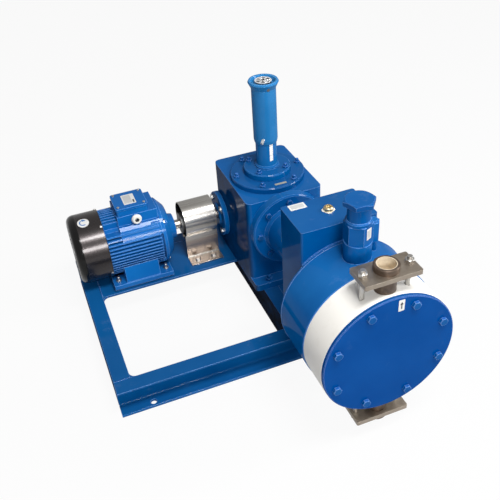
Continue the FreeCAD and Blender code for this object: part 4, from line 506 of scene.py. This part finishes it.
def sheet_of(outline, thickness, matrix):
    """A flat sheet with the given outline, standing up from the matrix's XY plane."""
    mesh = bmesh.new()
    low = [mesh.verts.new(matrix @ Vector((x, y, 0))) for x, y in outline]
    high = [mesh.verts.new(matrix @ Vector((x, y, thickness))) for x, y in outline]
    mesh.faces.new(high)
    mesh.faces.new(low[::-1])
    for k in range(len(outline)):
        j = (k + 1) % len(outline)
        mesh.faces.new((low[k], low[j], high[j], high[k]))
    return mesh


def rounded_rectangle(width, height, radius):
    """An outline about the origin."""
    steps = 5
    corners = []
    for sx, sy, start in ((1, 1, 0), (-1, 1, 90), (-1, -1, 180), (1, -1, 270)):
        for k in range(steps + 1):
            turn = math.radians(start + 90 * k / steps)
            corners.append((sx * (width / 2 - radius) + radius * math.cos(turn),
                            sy * (height / 2 - radius) + radius * math.sin(turn)))
    return corners


def lathe(outline, matrix, steps=48):
    """A solid of revolution about the matrix's Z; the outline lists (height, radius).
    It ends on the axis at both ends, or else it closes on itself as a ring's section."""
    mesh = bmesh.new()
    rings = []
    for height, radius in outline:
        turns = [math.tau * k / steps for k in range(1 if radius == 0 else steps)]
        rings.append([mesh.verts.new(matrix @ (radius * around(turn) + height * Z)) for turn in turns])
    is_ring = outline[0][1] != 0
    pairs = list(zip(rings, rings[1:])) + ([(rings[-1], rings[0])] if is_ring else [])
    for a, b in pairs:
        for k in range(steps):
            j = (k + 1) % steps
            corners = [a[k % len(a)], a[j % len(a)], b[j % len(b)], b[k % len(b)]]
            unique = [corner for n, corner in enumerate(corners) if corner not in corners[:n]]
            if len(unique) > 2:
                mesh.faces.new(unique)
    return mesh


def straight(start, end):
    return lambda share: start.lerp(end, share)


def bead(name, path, radius):
    """A painted weld bead with its ripples, laid along a joint; path gives the place from 0 to 1."""
    steps, sides, ring_gap = 40, 10, 1.5 * MM
    askew = Vector((0.31, 0.23, 0.92))  # no joint runs this way
    length = sum((path((k + 1) / steps) - path(k / steps)).length for k in range(steps))
    count = max(6, int(length / ring_gap))
    mesh = bmesh.new()
    rings = []
    for k in range(count + 1):
        here = path(k / count)
        ahead = path(min(1, k / count + 0.01)) - path(max(0, k / count - 0.01))
        along = ahead.normalized()
        side = along.cross(askew).normalized()
        other = along.cross(side)
        ripple = 1 + 0.12 * math.sin(k * 1.55) + random.uniform(-0.06, 0.06)
        taper = min(1, 0.4 + min(k, count - k) * 0.3)
        size = radius * ripple * taper
        rings.append([mesh.verts.new(here + size * around(math.tau * n / sides, side, other))
                      for n in range(sides)])
    for a, b in zip(rings, rings[1:]):
        for n in range(sides):
            j = (n + 1) % sides
            mesh.faces.new((a[n], a[j], b[j], b[n]))
    mesh.faces.new(rings[0][::-1])
    mesh.faces.new(rings[-1])
    # The finish lightens the bead's rounded ridges strongly: worn paint, and painted highlights
    smoothed(added(name, mesh, WEAR_AND_HIGHLIGHT_BLUE), 60)


# Skid: weld beads at the joints, webs that round the inner corners, and the plate between the feet
front_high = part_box("front_rail")[1]
left_low, left_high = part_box("left_cross_member")
rail_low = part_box("motor_rail")[0]
cross_low, cross_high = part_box("gearbox_cross_members")
deck = front_high.z
inner_x, inner_y = left_high.x, front_high.y
flange = inner_x - left_low.x
joints = [(left_low.x, inner_y), (cross_low.x, inner_y), (cross_high.x - flange, inner_y),
          (left_low.x, -inner_y)]
for number, (joint_x, joint_y) in enumerate(joints, 1):
    start = Vector((joint_x + 2 * MM, joint_y, deck))
    end = Vector((joint_x + flange - 2 * MM, joint_y, deck))
    bead("skid_weld_%d" % number, straight(start, end), 1.7 * MM)
bead("motor_rail_weld_left", straight(Vector((inner_x, rail_low.y + 3 * MM, deck)),
                                      Vector((inner_x, -inner_y - 3 * MM, deck))), 1.6 * MM)
bead("motor_rail_weld_rear", straight(Vector((inner_x + 3 * MM, -inner_y, deck)),
                                      Vector((cross_low.x - 24 * MM, -inner_y, deck))), 1.6 * MM)
web_thickness = 6 * MM


def corner_web(name, corner, toward_x, toward_y):
    """The small web that fills an inner corner of the skid to a radius."""
    reach = 15 * MM
    outline = [(0, 0)]
    for k in range(9):
        turn = math.radians(90 * k / 8)
        outline.append((reach * (1 - math.sin(turn)) * toward_x,
                        reach * (1 - math.cos(turn)) * toward_y))
    seat = Matrix.Translation(Vector((*corner, deck - web_thickness)))
    smoothed(added(name, sheet_of(outline, web_thickness, seat), BLUE), 40)


def foot_bridge():
    """The narrow plate at deck height between the gearbox cross members."""
    housing_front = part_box("gearbox_housing")[0].y
    low = Vector((cross_low.x + flange, housing_front - 50 * MM, deck - web_thickness))
    high = Vector((cross_high.x - flange, housing_front + 22 * MM, deck))
    outline = rounded_rectangle(high.x - low.x, high.y - low.y, 0.5 * MM)
    seat = Matrix.Translation(Vector(((low.x + high.x) / 2, (low.y + high.y) / 2, low.z)))
    smoothed(added("foot_bridge_plate", sheet_of(outline, web_thickness, seat), BLUE))


foot_bridge()
corner_web("corner_web_front_left", (inner_x, inner_y), 1, 1)
corner_web("corner_web_rear_left", (inner_x, rail_low.y), 1, -1)
corner_web("corner_web_front_right", (cross_low.x, inner_y), -1, 1)

# Seams that join the hydraulic box to the cylinder's rear rim, and the one round that rim
cylinder_low, cylinder_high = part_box("hydraulic_cylinder")
box_low, box_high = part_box("hydraulic_box")
pump_middle = middle("liquid_head")
cylinder_radius = (cylinder_high.x - cylinder_low.x) / 2
seam_radius = cylinder_radius - 0.4 * MM
seam_start = math.acos((box_low.x - pump_middle.x) / seam_radius)
seam_end = math.acos((box_high.x - pump_middle.x) / seam_radius)


def on_cylinder(turn, radius, y):
    """A place round the pump's axis, counted from the right towards the top."""
    return Vector((pump_middle.x, y, pump_middle.z)) + radius * around(turn, X, Z)


def seam_path(share):
    return on_cylinder(seam_start + (seam_end - seam_start) * share, seam_radius, box_low.y - 0.8 * MM)


def rim_path(share):
    return on_cylinder(math.radians(28 + 304 * share), cylinder_radius, box_low.y - 8 * MM)


bead("box_seam", seam_path, 2.6 * MM)
for side, box_x, end in (("left", box_low.x, seam_path(0)), ("right", box_high.x, seam_path(1))):
    bead("box_seam_" + side, straight(Vector((box_x, box_low.y, box_low.z + 3 * MM)),
                                      Vector((box_x, box_low.y, end.z - 2 * MM))), 2.2 * MM)
bead("cylinder_rim_seam", rim_path, 0.9 * MM)


# Thread ends that stand on the upright bolts
def loose_parts(node):
    """The box of each separate solid in a node, as pairs of corners."""
    copy = bmesh.new()
    copy.from_mesh(frame["nodes"][node].data)
    bmesh.ops.remove_doubles(copy, verts=copy.verts, dist=0.01 * MM)
    left = set(copy.verts)
    boxes = []
    while left:
        waiting = [left.pop()]
        part = []
        while waiting:
            vertex = waiting.pop()
            part.append(vertex.co.copy())
            for joined in vertex.link_edges:
                other = joined.other_vert(vertex)
                if other in left:
                    left.remove(other)
                    waiting.append(other)
        boxes.append((Vector([min(p[k] for p in part) for k in range(3)]),
                      Vector([max(p[k] for p in part) for k in range(3)])))
    copy.free()
    return sorted(boxes, key=lambda box: (round(box[0].x, 4), round(box[0].y, 4)))


def stud_ends(name, node, above, radius, height, finish):
    """The end of the thread, standing on top of each upright bolt whose head is above a height."""
    chamfer = 1 * MM
    outline = ((0, 0), (0, radius), (height - chamfer, radius), (height, radius - chamfer), (height, 0))
    mesh = bmesh.new()
    for low, high in loose_parts(node):
        upright = high.z - low.z > 1.2 * (high.x - low.x)
        if high.z > above and upright:
            base = Vector(((low.x + high.x) / 2, (low.y + high.y) / 2, high.z))
            stud = lathe(outline, Matrix.Translation(base), 20)
            data = bpy.data.meshes.new("stud")
            stud.to_mesh(data)
            stud.free()
            mesh.from_mesh(data)
            bpy.data.meshes.remove(data)
    smoothed(added(name, mesh, finish))


cover_low, cover_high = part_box("gearbox_cover")
stud_ends("cover_stud_ends", "gearbox_bolts", cover_low.z + 10 * MM, 4 * MM, 6.5 * MM, BOLT_BLUE)
stud_ends("gearbox_foot_stud_ends", "gearbox_foot_bolts", deck + 15 * MM, 5 * MM, 7 * MM, BLUE)
stud_ends("motor_foot_stud_ends", "motor_foot_bolts", deck + 15 * MM, 4 * MM, 10 * MM, ZINC)

# Bare plates and stickers; what lies on one is sunk into it by 0.05 mm
STICKER_THICKNESS = 0.45 * MM
FIELD_LIFT = STICKER_THICKNESS - 0.05 * MM


def label(name, centre, normal, up, size, finish=LABEL):
    """A sticker or plate with round corners; size is its width and height."""
    outline = rounded_rectangle(*size, 1.2 * MM)
    added(name, sheet_of(outline, STICKER_THICKNESS, frame_on(centre, normal, up)), finish)


box_plate = Vector((box_low.x + 33 * MM, box_high.y - 13 * MM, box_high.z))
label("box_plate", box_plate, Z, Y, (36 * MM, 20 * MM))
label("box_plate_field", box_plate + FIELD_LIFT * Z, Z, Y, (28 * MM, 13 * MM), LABEL_GREY)

lid_middle = middle("terminal_box_lid")
lid_plate = Vector((lid_middle.x, lid_middle.y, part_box("terminal_box_lid")[1].z))
lid_field = lid_plate + Vector((-3 * MM, 0, FIELD_LIFT))
lid_corner = lid_plate + Vector((10.5 * MM, -12.5 * MM, FIELD_LIFT))
label("lid_sticker", lid_plate, Z, Y, (31 * MM, 46 * MM))
label("lid_sticker_field", lid_field, Z, Y, (19 * MM, 37 * MM), LABEL_GREY)
label("lid_sticker_corner", lid_corner, Z, Y, (4 * MM, 13 * MM), LABEL_DARK)


def flow_arrow_outline():
    """An arrow that points up, from its right foot round to its left one."""
    tip, neck, foot = 8.5 * MM, 2 * MM, -8 * MM
    half_head, half_shaft = 3.6 * MM, 1.2 * MM
    right_side = [(half_shaft, foot), (half_shaft, neck), (half_head, neck)]
    return right_side + [(0, tip)] + [(-x, y) for x, y in reversed(right_side)]


flow_place = Vector((pump_middle.x + 15.7 * MM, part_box("front_cover")[0].y, pump_middle.z + 120.5 * MM))
flow_seat = frame_on(flow_place - FIELD_LIFT * Y, -Y, Z)
label("flow_sticker", flow_place, -Y, Z, (12.5 * MM, 26 * MM))
added("flow_arrow", sheet_of(flow_arrow_outline(), 0.25 * MM, flow_seat), LABEL_DARK)

# The relief valve stands on the cylinder's middle, and the sticker is on this flat of its hexagon
flat_out = around(math.radians(-66))
valve_axis = middle("hydraulic_cylinder")
sticker_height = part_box("hydraulic_valve_bodies")[0].z + 44.5 * MM
relief_place = Vector((valve_axis.x, valve_axis.y, sticker_height)) + 25 * MM * flat_out
relief_field = relief_place + FIELD_LIFT * flat_out
label("relief_sticker", relief_place, flat_out, Z, (13 * MM, 24 * MM))
label("relief_sticker_field", relief_field, flat_out, Z, (7 * MM, 18 * MM), LABEL_GREY)

cover_plate = Vector((middle("gearbox_cover").x + 4 * MM, cover_low.y + 17 * MM, cover_high.z))
label("cover_plate", cover_plate, Z, Y, (30 * MM, 7 * MM), LABEL_TAN)


def shell(name, rows, place, thickness, finish, closed=False):
    """A thin curved sheet; rows hold (u, v) points and place(u, v, lift) lays them on a surface."""
    mesh = bmesh.new()
    under, over = [[[mesh.verts.new(place(u, v, lift)) for u, v in row] for row in rows]
                   for lift in (0, thickness)]
    count = len(rows[0])
    steps = count if closed else count - 1
    for layer in (under, over):
        for a, b in zip(layer, layer[1:]):
            for k in range(steps):
                j = (k + 1) % count
                mesh.faces.new((a[k], a[j], b[j], b[k]))
    for r in (0, -1):
        if rows[r][0] != rows[r][1]:
            for k in range(steps):
                j = (k + 1) % count
                mesh.faces.new((under[r][k], under[r][j], over[r][j], over[r][k]))
    if not closed:
        for k in (0, -1):
            for r in range(len(rows) - 1):
                mesh.faces.new((under[r][k], under[r + 1][k], over[r + 1][k], over[r][k]))
    bmesh.ops.remove_doubles(mesh, verts=mesh.verts, dist=0.001 * MM)
    smoothed(added(name, mesh, finish), 40)


# Scale on the column
column_low, column_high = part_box("adjuster_column")
column_middle = middle("adjuster_column")
column_radius = 25.5 * MM
scale_turn = math.radians(-83.2)
scale_half_turn = 4.5 * MM / column_radius
scale_low, scale_high = column_low.z + 37 * MM, column_high.z - 10 * MM


def on_column(turn, height, lift):
    return Vector((column_middle.x, column_middle.y, height)) + (column_radius + lift) * around(turn)


strip_turns = [scale_turn + scale_half_turn * (k / 4 - 1) for k in range(9)]
strip_heights = [scale_low + (scale_high - scale_low) * row / 4 for row in range(5)]
strip_rows = [[(turn, height) for turn in strip_turns] for height in strip_heights]
shell("scale_strip", strip_rows, on_column, 0.2 * MM, SCALE)


def stroke_pointer():
    """The bright tag near the sleeve's lower end, set a little askew."""
    out = Vector((-0.60, -0.80, 0))
    up = (Z + 0.35 * Z.cross(out)).normalized()
    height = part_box("stroke_sleeve")[0].z + 10 * MM
    seat = Vector((column_middle.x, column_middle.y, height)) + 28.9 * MM * out
    sheet = sheet_of(rounded_rectangle(7 * MM, 15 * MM, 1.5 * MM), 1 * MM, frame_on(seat, out, up))
    tag = added("stroke_pointer", sheet, CHROME, "adjuster_body")
    rounding = tag.modifiers.new("rounded", "BEVEL")
    rounding.width = 0.25 * MM
    rounding.segments = 2
    rounding.limit_method = "ANGLE"
    smoothed(tag)


stroke_pointer()

# Hand dial in the mouth of the sleeve: a ring with broken edges, a dark face and three spokes over it
dial_seat = Matrix.Translation(Vector((column_middle.x, column_middle.y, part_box("stroke_spindle")[1].z)))
ring_inner, ring_outer, ring_height = 16.5 * MM, 20 * MM, 1.2 * MM
ring_shoulder, ring_ease = 0.8 * MM, 0.5 * MM
face_height = 0.3 * MM
ring_outline = ((0, ring_inner), (0, ring_outer), (ring_shoulder, ring_outer),
                (ring_height, ring_outer - ring_ease), (ring_height, ring_inner + ring_ease),
                (ring_shoulder, ring_inner))
face_outline = ((0, 0), (0, ring_inner), (face_height, ring_inner), (face_height, 0))


def dial_piece(name, mesh, finish):
    smoothed(added(name, mesh, finish, "adjuster_body"))


dial_piece("dial_ring", lathe(ring_outline, dial_seat), DIAL)
dial_piece("dial_face", lathe(face_outline, dial_seat), LABEL_DARK)
for number, (degrees, width) in enumerate(((98, 7 * MM), (38, 4 * MM), (158, 4 * MM)), 1):
    spoke_turn = Matrix.Rotation(math.radians(degrees), 4, "Z")
    spoke_seat = dial_seat @ Matrix.Translation(face_height * Z) @ spoke_turn
    spoke = sheet_of(rounded_rectangle(2 * ring_inner, width, 1.8 * MM), 1.1 * MM, spoke_seat)
    dial_piece("dial_spoke_%d" % number, spoke, DIAL)

# Square washer with cut corners under the filler plug
plug_middle = middle("oil_filler_plug")
washer_bore = 10.2 * MM
washer_turn = math.radians(32)


def square_reach(turn):
    """How far the washer reaches from its middle in a direction."""
    half, half_across_corners = 11.5 * MM, 13.6 * MM
    diagonal = turn - math.radians(45)
    return min(half / max(abs(math.cos(turn)), abs(math.sin(turn))),
               half_across_corners / max(abs(math.cos(diagonal)), abs(math.sin(diagonal))))


def on_box_top(turn, share, lift):
    """A place on the washer: share goes from its bore, 0, to its outer edge, 1."""
    reach = washer_bore + (square_reach(turn) - washer_bore) * share
    return Vector((plug_middle.x, plug_middle.y, box_high.z + lift)) + reach * around(turn + washer_turn)


washer_rows = [[(math.tau * k / 64, share) for k in range(64)] for share in (0, 1)]
shell("filler_washer", washer_rows, on_box_top, 1.4 * MM, PALE_PLASTIC, closed=True)

# Fan cowl: bare turning sign with its arrow, and the screws that hold the cowl
cowl_low, cowl_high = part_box("fan_cowl")
cowl_radius = (cowl_high.z - cowl_low.z) / 2
cowl_middle = middle("fan_cowl")
sign_x = cowl_middle.x - 2 * MM
sign_turn = math.radians(102.3)
sign_radius, sign_thickness = 14.5 * MM, 0.4 * MM


def on_cowl(across, upward, lift):
    """A place on the round cowl, counted from the sign's middle."""
    out = around(sign_turn + upward / cowl_radius, Y, Z)
    return Vector((sign_x + across, cowl_middle.y, cowl_middle.z)) + (cowl_radius + lift) * out


def on_sign(across, upward, lift):
    return on_cowl(across, upward, sign_thickness + lift)


def round_row(radius):
    turns = [math.tau * k / 40 for k in range(40)]
    return [(radius * math.cos(turn), radius * math.sin(turn)) for turn in turns]


def turning_arrow_rows():
    """The inner and outer edge of an arrow that runs three quarters round and ends in a point."""
    radius, half_line, half_head = 8.3 * MM, 1.3 * MM, 4.2 * MM
    steps, head_start = 32, 24
    rows = [[], []]
    for step in range(steps + 1):
        turn = math.radians(60 + 270 * step / steps)
        half = half_line if step < head_start else half_head * (steps - step) / (steps - head_start)
        for row, reach in zip(rows, (radius - half, radius + half)):
            row.append((reach * math.cos(turn), reach * math.sin(turn)))
    return rows


shell("turning_sign", [round_row(sign_radius * ring / 4) for ring in range(5)], on_cowl, sign_thickness,
      LABEL, closed=True)
shell("turning_arrow", turning_arrow_rows(), on_sign, 0.2 * MM, LABEL_BLUE)
screw_outline = ((0, 0), (0, 3.4 * MM), (1.1 * MM, 3.4 * MM), (1.8 * MM, 2.6 * MM),
                 (2.1 * MM, 1.2 * MM), (2.1 * MM, 0))
screw_ring = Vector((cowl_high.x - 3.5 * MM, cowl_middle.y, cowl_middle.z))
for number, degrees in enumerate((62, 118, 205, 335), 1):
    out = around(math.radians(degrees), Y, Z)
    screw_seat = screw_ring + (cowl_radius - 0.1 * MM) * out
    screw = lathe(screw_outline, frame_on(screw_seat, out, X), 24)
    smoothed(added("cowl_screw_%d" % number, screw, ZINC))

# Rubber seal in the mouth of the cable gland
gland_middle = middle("cable_gland")
gland_mouth = Vector((gland_middle.x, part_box("cable_gland")[0].y + 1 * MM, gland_middle.z))
seal_bore, seal_outside, seal_depth = 3.6 * MM, 5.4 * MM, 5 * MM
seal = lathe(((0, seal_bore), (0, seal_outside), (seal_depth, seal_outside), (seal_depth, seal_bore)),
             frame_on(gland_mouth, Y, Z), 32)
smoothed(added("gland_seal", seal, BLACK_RUBBER))

# Camera, at the place and angles that were fitted to the object's straight edges
EYE = Vector((-0.3293, -1.3125, 1.190))
YAW, PITCH, ROLL = 0.3328, 0.6411, -0.0699
FOCAL_LENGTH = 49.4
ahead = around(PITCH, around(YAW, Y, X), -Z)
level = around(YAW, X, -Y)
upright = level.cross(ahead)
right = around(ROLL, level, upright)
top = around(ROLL, upright, -level)
lens = bpy.data.cameras.new("photo_camera")
lens.lens = FOCAL_LENGTH
camera = bpy.data.objects.new("photo_camera", lens)
camera.matrix_world = Matrix.Translation(EYE) @ Matrix((right, top, -ahead)).transposed().to_4x4()
bpy.context.scene.collection.objects.link(camera)
bpy.context.scene.camera = camera


# Floor, lamps and world
def floor():
    """A wide pale floor just below the skid, which keeps the object's shadow."""
    mesh = bmesh.new()
    bmesh.ops.create_circle(mesh, cap_ends=True, segments=64, radius=14)
    data = bpy.data.meshes.new("floor")
    mesh.to_mesh(data)
    mesh.free()
    ground = bpy.data.objects.new("floor", data)
    ground.location.z = -0.3 * MM
    bpy.context.scene.collection.objects.link(ground)
    pale = Finish("pale_floor", Roughness=0.9, Specular_IOR_Level=0.0)
    clouds = pale.noise(1.5, detail=2)
    pale.feed("Base Color", pale.shade(clouds, (0.58, 0.58, 0.58), (0.62, 0.62, 0.62)))
    glow = pale.node("ShaderNodeEmission", {}, {})
    seen = pale.seen_plain(pale.shader, glow, camera_share=0.93, mirror_share=0.3)
    pale.lead(seen, "Material Output", "Surface")
    data.materials.append(pale.material)


def lamp(name, place, aim, size, power):
    """A soft oval lamp at a place, turned to its aim; size in metres, power in watts."""
    light = bpy.data.lights.new(name, "AREA")
    light.shape = "ELLIPSE"
    light.size, light.size_y = size
    light.energy = power
    holder = bpy.data.objects.new(name, light)
    turn = (Vector(aim) - Vector(place)).to_track_quat("-Z", "Y").to_matrix().to_4x4()
    holder.matrix_world = Matrix.Translation(place) @ turn
    bpy.context.scene.collection.objects.link(holder)


def studio_world():
    """Even light from all round, and a near-white backdrop for the camera and partly the reflections."""
    world = bpy.data.worlds.new("studio")
    bpy.context.scene.world = world
    world.use_nodes = True
    studio = Nodes(world.node_tree)
    even = studio.ready("Background", Color=(1, 1, 1, 1), Strength=0.22)
    white = studio.node("ShaderNodeBackground", {}, {"Color": (0.945, 0.945, 0.945, 1)})
    seen = studio.seen_plain(even, white, camera_share=1.0, mirror_share=0.38)
    studio.lead(seen, "World Output", "Surface")


floor()
lamp("overhead", place=(0.3, -1.1, 2.5), aim=(0.1, -0.1, 0.2), size=(1.1, 0.6), power=52)
lamp("front", place=(-0.1, -2.4, 1.4), aim=(0.0, -0.1, 0.2), size=(1.1, 0.5), power=32)
lamp("right", place=(2.2, -0.9, 1.7), aim=(0.1, -0.2, 0.2), size=(0.8, 0.8), power=28)
studio_world()
bpy.context.scene.view_settings.view_transform = "Standard"
